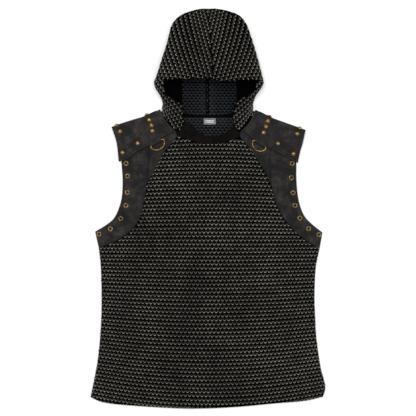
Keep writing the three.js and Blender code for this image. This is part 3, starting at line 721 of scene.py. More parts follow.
LEFT = Side(
    "left", -1,
    side=[(-279, -448), (-271, -410), (-262, -361), (-256, -303), (-253, -246), (-253, -189), (-255, -132),
          (-259.5, -94)],
    side_leather=[(-259.5, -94), (-268, -55)],
    armhole=[(-268, -55), (-239, -37), (-222, -21), (-210, 6), (-204, 34), (-203, 70), (-205, 100),
             (-208, 140), (-213, 170), (-220, 189)],
    armhole_seam=[(-259.5, -94), (-225, -81), (-194, -62), (-170, -37), (-158, -8), (-151, 20), (-146, 57)],
    yoke_seam=[(-146, 57), (-142, 100), (-142, 150), (-145, 215)],
    yoke_knit_seam=[(-146, 57), (-121, 101), (-104, 134), (-87, 153), (-73, 172)],
    yoke_neck=[(-73, 172), (-76, 184), (-84, 191), (-94, 201), (-101, 211), (-106, 221), (-110, 232)],
    shoulder=[(-145, 215), (-220, 189)],
    back_seam=[(-259.5, -94), (-225, -78), (-185, -40), (-160, 10), (-140, 70), (-118, 130), (-108, 180),
               (-106, 232)],
    flap_lower=[(-83, 184), (-102, 173), (-140, 150), (-164, 139), (-188, 121), (-212, 111)],
    flap_fold=[(-112.6, 236), (-146, 221), (-182, 210), (-210, 201), (-228, 194)],
    flap_inner=[(-83, 184), (-96, 203.5), (-104.5, 214), (-109.5, 225), (-112.6, 236)],
    flap_outer=[(-212, 111), (-215, 144), (-219, 166), (-228, 194)],
    strap_lower=[(-137.2, 152.8), (-113.2, 167.2)],
    strap_upper=(-149, -121),
    strap_outer_edge=[(-137.2, 152.8), (-143.5, 176), (-148.5, 190)],
    strap_inner_edge=[(-113.2, 167.2), (-119.5, 190), (-121.5, 210)],
    fold_studs=(-216, -144),
    hood_side=[(-110, 238), (-107, 250), (-113, 268), (-125, 287), (-127, FLARE_Y)],
    hood_flare=[(-127, FLARE_Y), (-126, 303), (-121, 314)],
    hood_crown=[(-121, 314), (-109, 353), (-97.5, 389), (-90, 420), (-84, 437), (-67, 456), (-40, 468),
                (-16, 474), (0, CROWN_Y)],
    hood_opening=[(-68, 182.5), (-58, 200), (-60, 222), (-62, 242), (-75, 255), (-97, 267), (-103, 284),
                  (-103, 302)],
    hood_brim=[(-103, 302), (-60, 302), (12, 304)],
)
RIGHT = Side(
    "right", 1,
    side=[(273, -447), (278.6, -422), (267, -375), (257, -303), (254, -246), (253, -204), (256, -140),
          (265, -95)],
    side_leather=[(265, -95), (272, -57)],
    armhole=[(272, -57), (247, -37), (230, -19), (219, 6), (213, 34), (210, 70), (210, 96), (210, 130),
             (215, 165), (223, 184)],
    armhole_seam=[(265, -95), (243, -83), (214, -62), (187, -33), (173, -11), (161, 13), (150, 57)],
    yoke_seam=[(150, 57), (147, 100), (148, 150), (148, 211)],
    yoke_knit_seam=[(150, 57), (132, 93), (117, 117), (98, 145), (75, 172)],
    yoke_neck=[(75, 172), (78, 184), (86, 192), (95.5, 202), (102, 212), (106, 222), (109, 232)],
    shoulder=[(148, 211), (223, 184)],
    back_seam=[(265, -95), (230, -80), (190, -42), (166, 10), (145, 70), (120, 130), (108, 180), (106, 232)],
    flap_lower=[(87, 182), (101, 172), (136, 150), (156, 140), (186, 123), (213, 108)],
    flap_fold=[(111.5, 235.5), (141, 220), (173, 208), (201, 198), (231, 187)],
    flap_inner=[(87, 182), (97.5, 204), (104, 214.5), (108.5, 226), (111.5, 235.5)],
    flap_outer=[(213, 108), (219, 137), (225, 158), (231, 187)],
    strap_lower=[(137.7, 149.8), (113.9, 164.6)],
    strap_upper=(149, 121),
    strap_outer_edge=[(137.7, 149.8), (143.5, 173), (148, 196)],
    strap_inner_edge=[(113.9, 164.6), (116, 180), (119, 205)],
    fold_studs=(217, 145),
    hood_side=[(108, 240), (107, 250), (113, 268), (127, 287), (131, FLARE_Y)],
    hood_flare=[(131, FLARE_Y), (130, 304), (127, 316)],
    hood_crown=[(127, 316), (117.5, 353), (107, 389), (97, 420), (90, 437), (75.5, 456), (48, 468),
                (20, 474), (2, CROWN_Y)],
    hood_opening=[(71, 182.5), (64, 197), (61, 220), (63, 242), (77, 258), (102, 272), (112, 286),
                  (113, 301)],
    hood_brim=[(113, 301), (72, 300), (36, 295.5), (12, 304)],
)

# Soft ridges of the body front: middle, direction in degrees, half length, half width, height.
FOLDS = [((-60, -230), 52, 260, 60, 2.6), ((120, -330), 68, 150, 45, 1.8), ((-170, -330), 80, 130, 40, 1.6),
         ((60, 60), 20, 120, 45, 1.2)]


def fold_rise(x, y):
    total = 0
    for (cx, cy), turn, reach, spread, rise in FOLDS:
        along = ((x - cx) * cos(radians(turn)) + (y - cy) * sin(radians(turn))) / reach
        across = (-(x - cx) * sin(radians(turn)) + (y - cy) * cos(radians(turn))) / spread
        total = total + rise * np.exp(-along ** 2 - across ** 2)
    return total


def front_knit_height(x, y):
    fade = smooth(-470, -400, y) * (1 - smooth(90, 150, y)) * (1 - smooth(190, 245, np.abs(x)))
    return FRONT_HEIGHT + KNIT / 2 + fold_rise(x, y) * fade


def front_leather_height(x, y):
    return FRONT_HEIGHT + LEATHER / 2 + FRONT_LIFT * smooth(LIFT_START, LIFT_END, y)


def back_leather_height(x, y):
    return LEATHER / 2 + STACK_LIFT * smooth(LIFT_START, LIFT_END, y)


def raised(plan, height):
    return np.concatenate([plan, height(plan[..., 0], plan[..., 1])[..., None]], -1)


# ---------------------------------------------------------------- body of the top
GROUND_UPPER = 0.1             # the backing cloth lies between these, inside the 2.4 mm of the whole knit
GROUND_LOWER = 1.2
SIDE_STRETCH = 5.5e-7          # rows close up towards the sides
ROW_CURVES = [(-475, 24), (-80, 0), (150, -20)]      # level of a row, and how much higher its ends lie


def body_flat_to_plan(flat):
    """Rows are level at mid height, turned up at the ends near the hem and down on the chest."""
    x = flat[..., 0] - SIDE_STRETCH * flat[..., 0] ** 3
    bend = np.interp(flat[..., 1], *zip(*ROW_CURVES))
    return np.stack([x, flat[..., 1] + bend * (x / 250) ** 2], -1)


def front_outline(steps=80):
    s = np.linspace(0, 1, steps)
    edge = lambda side: joined(s, (side.side, 10), (side.armhole_seam, 7), (side.yoke_knit_seam, 5))
    return np.concatenate([spline(HEM, s), edge(RIGHT), spline(NECK_LINE, s)[::-1], edge(LEFT)[::-1]])


def back_neck(u):
    start, end = np.array(LEFT.back_seam[-1]), np.array(RIGHT.back_seam[-1])
    x = mix(start[0], end[0], u)
    y = NECK_Y - 2 * GAP + NECK_RISE * (x / NECK_HALF_WIDTH) ** 2
    neck = np.stack([x, y], -1)
    neck[0], neck[-1] = start, end
    return neck


def back_edge(side, shares):
    return joined(shares, (side.side, 7), (side.back_seam, 9))


def back_outline(steps=80):
    s = np.linspace(0, 1, steps)
    return np.concatenate([spline(HEM, s), back_edge(RIGHT, s), back_neck(s)[::-1],
                           back_edge(LEFT, s)[::-1]])


def body_lines(low=-540, high=260, reach=34 * PITCH):
    """Level rows from reach on the left to reach on the right, out past the cloth."""
    for k in range(int((high - low) / ROW_SPACING)):
        yield np.array([-reach, low + k * ROW_SPACING]), np.array([1.0, 0.0]), 2 * reach, pi * (k % 2)


def over_the_edge(centres, normals, widths, heights, loft):
    """Bends a row's ends: round the side of the body, or down into a seam, with painted shade on the bent
    ends.
    """
    ends = []
    for tip, inner in ((centres[0], centres[1]), (centres[-1], centres[-2])):
        out = unit((tip - inner)[None])[0]
        at_side = abs(tip[0]) > 240 and tip[1] < -88
        reach, drop = ((1.0, 1.1), (1.5, 2.4)) if at_side else ((0.3, 0.5), (0.5, 1.1))
        up = np.array([0, 0, 1.0 if normals[0][2] > 0 else -1.0])
        ends.append([tip + out * reach[0] - up * reach[1], tip + out * drop[0] - up * drop[1]])
    centres = np.concatenate([ends[0][::-1], centres, ends[1]])
    grow = lambda values, share: np.concatenate([[values[0] * share ** 2, values[0] * share], values,
                                                 [values[-1] * share, values[-1] * share ** 2]])
    normals = np.concatenate([normals[:1], normals[:1], normals, normals[-1:], normals[-1:]])
    # the bent ends' painted light is scaled down: painted shade where they turn away
    return [centres, normals, grow(widths, 0.8), grow(heights, 0.8), grow(loft, 0.7)]


def make_front():
    u = np.linspace(0, 1, 90)
    v = np.concatenate([[0, 0.003, 0.007], np.linspace(0.014, 0.986, 96), [0.993, 0.997, 1]])
    edge = lambda side: joined(v, (side.side, 10), (side.armhole_seam, 7), (side.yoke_knit_seam, 5))
    plan = coons(spline(HEM, u), spline(NECK_LINE, u), edge(LEFT), edge(RIGHT), u, v)
    ground = shell("front_cloth", Sheet(raised(plan, front_knit_height), u, v), GROUND_UPPER, GROUND_LOWER,
                   "ground", "knit")
    outline = front_outline()

    def place(flat):
        on_plan = body_flat_to_plan(flat)
        x, y = on_plan[:, 0], on_plan[:, 1]
        z = front_knit_height(x, y)
        slope_x = front_knit_height(x + 1, y) - z
        slope_y = front_knit_height(x, y + 1) - z
        normals = unit(np.stack([-slope_x, -slope_y, np.ones_like(z)], -1))
        return np.stack([x, y, z], -1), normals, inside(outline, on_plan)

    rows, links = weave(body_lines(), place, FRONT_YARN, over_the_edge)
    rows.sort(key=lambda run: run[0][:, 1].mean())
    half = len(rows) // 2
    pieces = [tubes("front_rows_lower", rows[:half], "yarn"), tubes("front_rows_upper", rows[half:], "yarn"),
              tubes("front_links", links, "link")]
    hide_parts("front_panel")


ROWS_INSIDE_BACK = 0.992       # share of the back's outline that its rows reach


def make_back():
    u = np.linspace(0, 1, 64)
    v = np.linspace(0, 1, 76)
    plan = coons(spline(HEM, u), back_neck(u), back_edge(LEFT, v), back_edge(RIGHT, v), u, v)
    plan[:, :, 0] -= BACK_INSET * np.sign(u - 0.5)[None, :] * (np.abs(u - 0.5) * 2)[None, :] ** 8
    plan[:, :, 1] += BACK_INSET * ((1 - v) ** 8)[:, None]
    sheet = Sheet(raised(plan, flat_at(KNIT / 2)), u, v)
    ground = shell("back_cloth", sheet, GROUND_LOWER, GROUND_UPPER, "ground", "knit")
    outline = back_outline()
    outline = mix(outline.mean(0), outline, ROWS_INSIDE_BACK)

    def place(flat):
        on_plan = body_flat_to_plan(flat)
        points = raised(on_plan, flat_at(KNIT / 2))
        return points, np.broadcast_to([0.0, 0.0, -1.0], points.shape), inside(outline, on_plan)

    rows, links = weave(body_lines(), place, BACK_YARN)
    pieces = [tubes("back_rows", rows, "yarn"), tubes("back_links", links, "link")]
    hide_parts("back_panel")
    make_reverse_rows()


def make_reverse_rows():
    """The knit's reverse side where the neck opening and the hood's mouth show it; it is left off at the
    mouth's sides, where the black ground is painted shade.
    """
    s = np.linspace(0, 1, 40)
    neck = np.concatenate([spline(NECK_LINE, s) + (0, 6), [(78, 222), (-75, 222)]])
    mouth = np.array([(-64, 222), (66, 222), (84, 250), (100, 300), (88, 340), (62, 400), (-62, 400),
                      (-86, 340), (-100, 300), (-84, 250)], float)
    runs = []
    for outline, low, high in ((neck, 160, 218), (mouth, 223.5, 398)):

        def place(flat):
            points = raised(flat, flat_at(KNIT / 2))
            keep = inside(outline, flat) & (flat[:, 1] > low) & (flat[:, 1] < high)
            if outline is mouth:
                x = flat[:, 0]
                # bars stop at the mouth's sides: painted shade of the hood's inner side walls
                keep &= (np.abs(x - BACK_SEAM_X) > 3.6) & (x > -REVERSE_REACH_BEFORE_PAINTED_SHADE[0]) & (x < REVERSE_REACH_BEFORE_PAINTED_SHADE[1])
            return points, np.broadcast_to([0.0, 0.0, 1.0], points.shape), keep

        lines = ((np.array([-120.0, low + 3 + k * INNER_SPACING]), np.array([1.0, 0.0]), 240, pi * (k % 2))
                 for k in range(int((high - low) / INNER_SPACING)))
        runs += weave(lines, place, INNER_YARN)[0]
    return tubes("reverse_rows", runs, "slate")


# ---------------------------------------------------------------- leather
def wrinkles(x, y, amount=0.32):
    """Soft shallow creases of worn leather, a few directions laid over each other."""
    waves = [(0.9, 0.16, 0.3), (2.2, 0.11, 1.7), (-0.4, 0.21, 4.1), (1.5, 0.33, 2.2)]
    total = 0
    for turn, rate, start in waves:
        along = x * cos(turn) + y * sin(turn)
        bend = 2.2 * np.sin((x * sin(turn) - y * cos(turn)) * 0.045 + start)
        total = total + np.abs(np.sin(along * rate / 2 + bend + start)) ** 3
    return -amount * total / len(waves) * 2


STITCH_INSET = 5.0


def edge_relief(distance):
    """A turned and stitched edge: a low roll, then the groove that the stitches pull."""
    return 0.38 * bell(distance, 2.0, 2.2) - 0.42 * bell(distance, STITCH_INSET, 1.0)


def leather_relief(sheet, edges, seams=(), amount=0.5, covers=()):
    """Wrinkles, turned free edges, and seams where the leather dips into its neighbour.

    The wear-and-shade value is above zero where an edge is rubbed pale (real wear), and below zero for
    painted shade in seams and painted shadow under a cover's edge.
    """
    plan = sheet.points[..., :2]
    distance = nearest(plan, np.concatenate(edges)[:, :2])
    relief = edge_relief(distance) + wrinkles(plan[..., 0], plan[..., 1], amount) * smooth(1, 9, distance)
    wear = 0.75 * bell(distance, 0.6, 1.3) + 0.12 * bell(distance, 8, 3)
    if seams:
        depth = bell(nearest(plan, np.concatenate(seams)[:, :2]), 0, 1.8)
        relief = relief - 0.6 * depth
        # the seam's dip is real relief; its darkening is painted shade
        wear = wear * (1 - depth) - 0.9 * depth
    for cover in covers:
        # painted shadow under the cover's edge
        wear = wear - bell(nearest(plan, cover), 0, 3.2)
    return relief, wear


def parallel_path(sheet, height, u=None, v=None, low=0.0, high=1.0, count=160):
    """A path over a sheet at one share across it, raised to its surface."""
    along = np.linspace(low, high, count)
    points, normals = sheet.at(np.full(count, u) if u is not None else along,
                               np.full(count, v) if v is not None else along)
    return points + normals * height, normals


LEATHER_STEP = 3.4             # grid step across the leather that shows
ARMHOLE_WIDTH = 80             # usual width and length of each piece, which set its grid
ARMHOLE_LENGTH = 300
YOKE_WIDTH = 38
YOKE_LENGTH = 165
FLAP_WIDTH = 150
FLAP_LENGTH = 75


def make_armhole(side):
    u = fine_shares(ARMHOLE_WIDTH, LEATHER_STEP)
    v = fine_shares(ARMHOLE_LENGTH, LEATHER_STEP)
    plan = coons(spline(side.side_leather[::-1], u), spline(side.shoulder[::-1], u), spline(side.armhole, v),
                 joined(v, (side.armhole_seam, 7), (side.yoke_seam, 9)), u, v)
    sheet = Sheet(raised(plan, front_leather_height), u, v)
    flap_edge = spline(side.flap_lower, np.linspace(0, 1, 90))
    # the flap's lower edge casts painted shadow on this leather; its seam gets painted shade
    relief, wear = leather_relief(sheet, [plan[:, 0], plan[0]], [plan[:, -1]], covers=[flap_edge])
    for x, y, _ in eyelet_places(side):
        relief = relief - 0.35 * bell(np.hypot(sheet.points[..., 0] - x, sheet.points[..., 1] - y), 7.5, 2.5)
    front = shell(f"armhole_front_leather_{side.name}", sheet, LEATHER / 2, LEATHER / 2, "leather", "leather",
                  wear, relief)
    pierce(front, eyelet_places(side), EYELET_BARREL + 0.15)
    outer = STITCH_INSET / ARMHOLE_WIDTH
    if not np.allclose(sheet.points[0, 0, :2], plan[0, 0]):
        outer = 1 - outer
    seam = parallel_path(sheet, LEATHER / 2 - 0.2, u=outer, low=0.03, high=0.82)
    sewn = stitches(f"armhole_stitches_{side.name}", [seam])
    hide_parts(f"armhole_front_{side.name}")

    u = fine_shares(90, 6)
    v = fine_shares(310, 6)
    top = spline([side.shoulder[1], side.back_seam[-1]], u)
    plan = coons(spline(side.side_leather[::-1], u), top, spline(side.armhole, v),
                 spline(side.back_seam, v), u, v)
    plan[:, :, 0] -= side.sign * BACK_INSET * ((1 - u) ** 6)[None, :]
    sheet = Sheet(raised(plan, back_leather_height), u, v)
    relief, wear = leather_relief(sheet, [plan[:, 0], plan[:, -1]], amount=0.2)
    back = shell(f"armhole_back_leather_{side.name}", sheet, LEATHER / 2, LEATHER / 2, "leather", "leather",
                 wear, relief)
    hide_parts(f"armhole_back_{side.name}")


PUNCH_REACH = 20


def pierce(piece, places, radius, segments=28):
    """Cuts round holes straight through a flat-lying piece."""
    around = np.arange(segments) * 2 * pi / segments
    ring = np.stack([np.cos(around), np.sin(around)], -1) * radius
    points, faces = [], []
    for x, y, _ in places:
        first = len(points)
        for z in (-PUNCH_REACH, PUNCH_REACH):
            points += [((x + px) * MM, (y + py) * MM, z * MM) for px, py in ring]
        for k in range(segments):
            after = (k + 1) % segments
            faces.append((first + k, first + after, first + segments + after, first + segments + k))
        faces.append(tuple(first + k for k in reversed(range(segments))))
        faces.append(tuple(first + segments + k for k in range(segments)))
    mesh = bpy.data.meshes.new("punch")
    mesh.from_pydata(points, [], faces)
    punch = bpy.data.objects.new("punch", mesh)
    scene.collection.objects.link(punch)
    modifier = piece.modifiers.new("holes", "BOOLEAN")
    modifier.operation = "DIFFERENCE"
    modifier.solver = "EXACT"
    modifier.object = punch
    apply_modifiers(piece)
    bpy.data.objects.remove(punch)


YOKE_TIP_TRIM = 0.15           # share of the first of its 9 rows by which the yoke stops short of its tip


def make_yoke(side):
    v = mix(YOKE_TIP_TRIM / 9, 1, fine_shares(YOKE_LENGTH, LEATHER_STEP))
    u = fine_shares(YOKE_WIDTH, LEATHER_STEP)
    tip = side.yoke_seam[0]
    narrow = [tip, (tip[0] - 2 * side.sign, tip[1])]
    top = spline([side.yoke_seam[-1], side.yoke_neck[-1]], u)
    plan = coons(spline(narrow, u), top, spline(side.yoke_seam, v),
                 joined(v, (side.yoke_knit_seam, 5), (side.yoke_neck, 4)), u, v)
    sheet = Sheet(raised(plan, front_leather_height), u, v)
    flap_edge = spline(side.flap_lower, np.linspace(0, 1, 90))
    # the flap's lower edge casts painted shadow on the yoke; its seams get painted shade
    relief, wear = leather_relief(sheet, [plan[-1]], [plan[:, 0], plan[:, -1]], covers=[flap_edge])
    yoke = shell(f"yoke_leather_{side.name}", sheet, LEATHER / 2, LEATHER / 2, "leather", "leather",
                 wear, relief)
    seam = spline(side.yoke_knit_seam, np.linspace(0.12, 0.95, 120))
    inward = unit(np.gradient(seam, axis=0))[:, ::-1] * (side.sign, -side.sign)
    path = raised(seam + inward * 4.2, front_leather_height) + (0, 0, LEATHER / 2 - 0.15)
    sewn = stitches(f"yoke_stitches_{side.name}", [(path, np.tile([0.0, 0.0, 1.0], (len(path), 1)))])
    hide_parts(f"yoke_{side.name}")


# ---------------------------------------------------------------- shoulder flaps, straps and rings
def fold_line(side, shares):
    """The line that the shoulder's layers fold about, and the level direction out of the shoulder."""
    line = spline(side.flap_fold, shares) - (0, FLAP_FOLD_RADIUS + LEATHER / 2)
    along = unit(np.gradient(line, axis=0))
    outward = np.stack([-along[:, 1], along[:, 0]], -1)
    return line, outward * np.where(outward[:, 1] < 0, -1, 1)[:, None]


def fold_at(side, x):
    line, outward = fold_line(side, np.linspace(0, 1, 121))
    order = np.argsort(line[:, 0])
    pick = lambda values: np.interp(x, line[order, 0], values[order])
    return (np.stack([x, pick(line[:, 1])], -1),
            unit(np.stack([pick(outward[:, 0]), pick(outward[:, 1])], -1)))


def fold_over(rows, outward, height, radius, degrees, turn_steps, back_reach, back_steps):
    """Adds rows that turn about the fold line and then run down the back."""
    level = np.concatenate([outward, np.zeros((len(outward), 1))], -1)
    last = rows[-1]
    for angle in radians(degrees) * np.arange(1, turn_steps + 1) / turn_steps:
        row = last + level * radius * sin(angle)
        row[:, 2] = height - radius * (1 - cos(angle))
        rows.append(row)
    turned = rows[-1]
    for k in range(1, back_steps + 1):
        rows.append(turned - level * (back_reach * k / back_steps)[:, None])
    return np.array(rows)


def make_flap(side):
    u = fine_shares(FLAP_WIDTH, 3.2)
    v = fine_shares(FLAP_LENGTH, 3.2, end=False)
    top, outward = fold_line(side, u)
    pull = (FLAP_FOLD_RADIUS + LEATHER / 2) * v[:, None] * (0, 1)
    plan = coons(spline(side.flap_lower, u), top, spline(side.flap_inner, v) - pull,
                 spline(side.flap_outer, v) - pull, u, v)
    flat = raised(plan, flat_at(FLAP_HEIGHT))
    reach = FLAP_BACK_REACH * mix(0.2, 1, smooth(0, 0.4, u))
    rows = fold_over(list(flat), outward, FLAP_HEIGHT, FLAP_FOLD_RADIUS, 180, 10, reach, 8)
    onward = np.linspace(1, 1.6, len(rows) - len(v) + 1)[1:]
    sheet = Sheet(rows, u, np.concatenate([v, onward]), outward_up=False)
    if sheet.normals[:len(v) // 2, :, 2].mean() < 0:
        sheet = Sheet(rows[:, ::-1], 1 - u[::-1], sheet.v, outward_up=False)
    edges = [sheet.points[:, 0], sheet.points[:, -1], sheet.points[0]]
    relief, wear = leather_relief(sheet, edges)
    folded = np.arange(len(rows))[:, None] >= len(v)
    relief = np.where(folded, 0, relief * smooth(0, 12, nearest(sheet.points[..., :2], top))) \
        + np.where(folded, 0, 0.25 * bell(nearest(sheet.points[..., :2], sheet.points[0, :, :2]), 2.2, 2.4))
    for x, y, _, _ in stud_places(side)[:6]:
        relief = relief - np.where(folded, 0, 0.3 * bell(np.hypot(sheet.points[..., 0] - x,
                                                                  sheet.points[..., 1] - y), 6, 3))
    wear = wear + 0.35 * bell(nearest(sheet.points, rows[len(v) + 3]), 0, 2.2)
    flap = shell(f"shoulder_flap_leather_{side.name}", sheet, LEATHER / 2, LEATHER / 2, "leather", "leather",
                 wear, relief)
    outer, lower = STITCH_INSET / FLAP_WIDTH, STITCH_INSET / FLAP_LENGTH
    starts_outside = sheet.points[0, 0, 0] * side.sign > sheet.points[0, -1, 0] * side.sign
    outer_share = outer if starts_outside else 1 - outer
    paths = [parallel_path(sheet, LEATHER / 2 - 0.2, v=lower, low=0.04, high=0.96),
             parallel_path(sheet, LEATHER / 2 - 0.2, u=outer_share, low=0.09, high=0.97)]
    sewn = stitches(f"flap_stitches_{side.name}", paths)
    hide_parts(f"shoulder_flap_{side.name}")


def ring_joint(side):
    joint = next(j for j in frame["joints"] if j["child"] == f"ring_{side.name}")
    axis = np.array(joint["pos_m"]) / MM
    bar = -np.array(joint["axis"])
    return axis, bar


def make_strap(side):
    u = np.linspace(0, 1, 17)
    v = np.linspace(0, 1, 26)
    axis, bar = ring_joint(side)
    outward = np.array([bar[1], -bar[0], 0])
    ends = np.array([(*point, 0.0) for point in side.strap_lower])
    lower = mix(ends[0], ends[1], u[:, None])
    reach = (np.array([axis[0], axis[1], 0]) - ends[0]) @ outward
    rows = []
    for degrees in np.linspace(LOOP_TAIL_ANGLE, LOOP_TOP_ANGLE, 18):
        row = lower + outward * (reach + LOOP_RADIUS * cos(radians(degrees)))
        row[:, 2] = axis[2] + LOOP_RADIUS * sin(radians(degrees))
        rows.append(row)
    upper_x = mix(*side.strap_upper, u)
    top, away = fold_at(side, upper_x)
    plan = coons(lower[:, :2], top, spline([*side.strap_outer_edge, tuple(top[0])], v),
                 spline([*side.strap_inner_edge, tuple(top[-1])], v), u, v)
    flat = raised(plan, flat_at(STRAP_HEIGHT))
    flat[..., 2] += LOOP_LIFT * (1 - smooth(0, 0.22, v))[:, None]
    over = fold_over(list(flat), away, STRAP_HEIGHT, STRAP_FOLD_RADIUS, STRAP_FOLD_ANGLE, 10, None, 0)
    rows = np.concatenate([np.array(rows), over])
    share = np.linspace(0, 1, len(rows))
    sheet = Sheet(rows, u, share, outward_up=False)
    if sheet.normals[25:35, :, 2].mean() < 0:
        sheet = Sheet(rows[:, ::-1], 1 - u[::-1], share, outward_up=False)
    margin = np.minimum(sheet.u, 1 - sheet.u)[None, :] * STRAP_WIDTH
    relief = (0.2 * bell(margin, 1.4, 1.4) - 0.22 * bell(margin, 3.4, 1.0)) * np.ones((len(rows), 1))
    wear = 0.8 * bell(margin, 0, 1.2) * np.ones((len(rows), 1)) + 0.3 * bell(share[:, None], 0.3, 0.03)
    strap = shell(f"stud_strap_leather_{side.name}", sheet, STRAP_LEATHER / 2, STRAP_LEATHER / 2, "leather",
                  "leather", wear, relief)
    paths = [parallel_path(sheet, STRAP_LEATHER / 2 - 0.05, u=place, low=0.37, high=0.93)
             for place in (0.12, 0.88)]
    sewn = stitches(f"strap_stitches_{side.name}", paths, length=2.2, gap=1.0, half_width=0.28)
    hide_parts(f"stud_strap_{side.name}")


def make_ring(side):
    """A D-ring of round wire: a straight bar, two tight corners and a half-round bow."""
    inner = RING_RADIUS - RING_CORNER
    half = [(RING_JOINT / 2, 0), (inner / 2, 0), (inner, 0)]
    half += [(inner + RING_CORNER * cos(radians(a)), -RING_CORNER + RING_CORNER * sin(radians(a)))
             for a in (60, 30, 0)]
    half += [(RING_RADIUS * cos(radians(a)), -RING_CORNER - inner * sin(radians(a)))
             for a in (20, 40, 60, 80)]
    path = half + [(-x, y) for x, y in reversed(half)]
    flat = spline(path, np.linspace(0, 1, RING_STEPS))
    centres = np.concatenate([flat, np.zeros((RING_STEPS, 1))], -1)
    axis, bar = ring_joint(side)
    droop = Matrix.Rotation(asin(RING_DROP / RING_RADIUS), 3, "X")
    turn = Matrix.Rotation(atan2(bar[1], bar[0]), 3, "Z") @ droop
    centres = centres @ np.array(turn).T + axis
    normals = np.tile(np.array(turn @ Vector((0, 0, 1))), (RING_STEPS, 1))
    wire = np.full(RING_STEPS, RING_WIRE / 2)
    ring = tubes(f"d_ring_{side.name}", [(centres, normals, wire, wire, np.ones(RING_STEPS))], "brass",
                 "brass", f"ring_{side.name}", sides=16)
    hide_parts(f"ring_{side.name}")


# ---------------------------------------------------------------- studs and eyelets
def stud_places(side):
    """Centre, height of the foot and the way each stud faces, for the strap's, the flap's and the fold's."""
    places = []
    for kind in ("strap", "flap"):
        for n in (1, 2, 3):
            low, high = box_mm(f"stud_{kind}_{side.name}_{n}")
            places.append(((low[0] + high[0]) / 2, (low[1] + high[1]) / 2, low[2], np.array([0, 0, 1.0])))
    x = np.array(side.fold_studs, float)
    points, outward = fold_at(side, x)
    feet = (FLAP_FOLD_RADIUS + LEATHER / 2 + GAP, STRAP_FOLD_RADIUS + STRAP_LEATHER / 2 + GAP)
    for point, out, foot, tilt in zip(points, outward, feet, FOLD_STUD_TILTS):
        facing = np.array([*(out * cos(radians(tilt))), sin(radians(tilt))])
        base = np.array([*point, FLAP_HEIGHT - FLAP_FOLD_RADIUS]) + facing * foot
        places.append((*base, facing))
    return places


def eyelet_places(side):
    places = []
    for n in range(1, 8):
        low, high = box_mm(f"eyelet_{side.name}_{n}")
        places.append(((low[0] + high[0]) / 2, (low[1] + high[1]) / 2, high[2] - EYELET_RIM))
    return places


def lathe(profile, segments, place, facing=(0, 0, 1)):
    """Points and quads of a closed profile turned round an axis; a point on the axis is a tiny ring."""
    radius, height = np.array(profile, float).T
    around = np.arange(segments) * 2 * pi / segments
    ring = np.stack([radius[:, None] * np.cos(around), radius[:, None] * np.sin(around),
                     np.broadcast_to(height[:, None], (len(radius), segments))], -1)
    turn = np.array(Vector((0, 0, 1)).rotation_difference(Vector(facing)).to_matrix())
    return ring.reshape(-1, 3) @ turn.T + np.array(place), grid_faces(len(radius), segments, turn_round=True)


def join_lathes(name, parts, finish="brass"):
    points, faces, first = [], [], 0
    for part_points, part_faces in parts:
        points.append(part_points)
        faces.append(part_faces + first)
        first += len(part_points)
    piece = build(name, np.concatenate(points), np.concatenate(faces), finish, slot="brass")
    weld(piece)
    return piece


def make_studs(side):
    """Low domes with a fine turned foot, set on their leather."""
    dome = [(STUD_RADIUS * 0.9 * cos(radians(a)), 0.35 + (STUD_RISE - 0.35) * sin(radians(a)))
            for a in range(0, 90, 9)]
    profile = [(0, -GAP), (STUD_RADIUS * 0.8, -GAP), (STUD_RADIUS, -0.1), (STUD_RADIUS, 0.2),
               (STUD_RADIUS * 0.93, 0.36), *dome, (0, STUD_RISE)]
    parts = [lathe(profile, 28, (x, y, z), facing) for x, y, z, facing in stud_places(side)]
    names = [f"stud_{kind}_{side.name}_{n}" for kind in ("strap", "flap") for n in (1, 2, 3)]
    studs = join_lathes(f"brass_studs_{side.name}", parts)
    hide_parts(*names, *[f"stud_fold_{side.name}_{n}" for n in (1, 2)])


def make_eyelets(side):
    """Rolled rims with a barrel through the leather."""
    roll = EYELET_RADIUS - EYELET_BORE
    rim = [(EYELET_BORE + roll / 2 + roll / 2 * cos(radians(a)),
            0.05 + (EYELET_RIM - 0.05) * sin(radians(a)) ** 0.8) for a in range(0, 181, 15)]
    profile = [(EYELET_BORE + 0.1, -LEATHER - GAP), (EYELET_BARREL, -LEATHER - GAP), (EYELET_BARREL, -GAP),
               (EYELET_RADIUS - 0.1, -GAP), *rim, (EYELET_BORE + 0.05, -0.4),
               (EYELET_BORE + 0.1, -LEATHER - GAP)]
    parts = [lathe(profile, 32, (x, y, z)) for x, y, z in eyelet_places(side)]
    eyelets = join_lathes(f"brass_eyelets_{side.name}", parts, "eyelet")
    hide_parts(*[f"eyelet_{side.name}_{n}" for n in range(1, 8)])


# ---------------------------------------------------------------- neckband and label
RIB_PITCH = 2.9
RIB_DEPTH = 0.34
NECKBAND_LENGTH = 165


def make_neckband():
    """A crescent of rib knit round the front of the neck."""
    u = np.linspace(0, 1, 280)
    v = np.concatenate([[0, 0.02, 0.06], np.linspace(0.12, 0.88, 7), [0.94, 0.98, 1]])
    plan = coons(spline(NECK_LINE, u), spline(NECK_OPENING, u), spline([NECK_LINE[0], NECK_OPENING[0]], v),
                 spline([NECK_LINE[-1], NECK_OPENING[-1]], v), u, v)
    sheet = Sheet(raised(plan, flat_at(FRONT_HEIGHT + NECKBAND / 2)), u, v)
    ribs = RIB_DEPTH * np.cos(2 * pi * u * NECKBAND_LENGTH / RIB_PITCH)[None, :] * smooth(0, 0.1, v)[:, None]
    roll = 0.5 * bell(v, 0.93, 0.07)[:, None] - 0.3 * bell(v, 0.78, 0.05)[:, None]
    band = shell("neckband_rib", sheet, NECKBAND / 2, NECKBAND / 2, "rib", "neckband", relief=ribs + roll)
    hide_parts("neckband")


LABEL_FRAME = 2.2              # the woven border's distance from the label's edge
LABEL_BAR = 6.2                # middle of its two plain bars, from its lower and upper edge


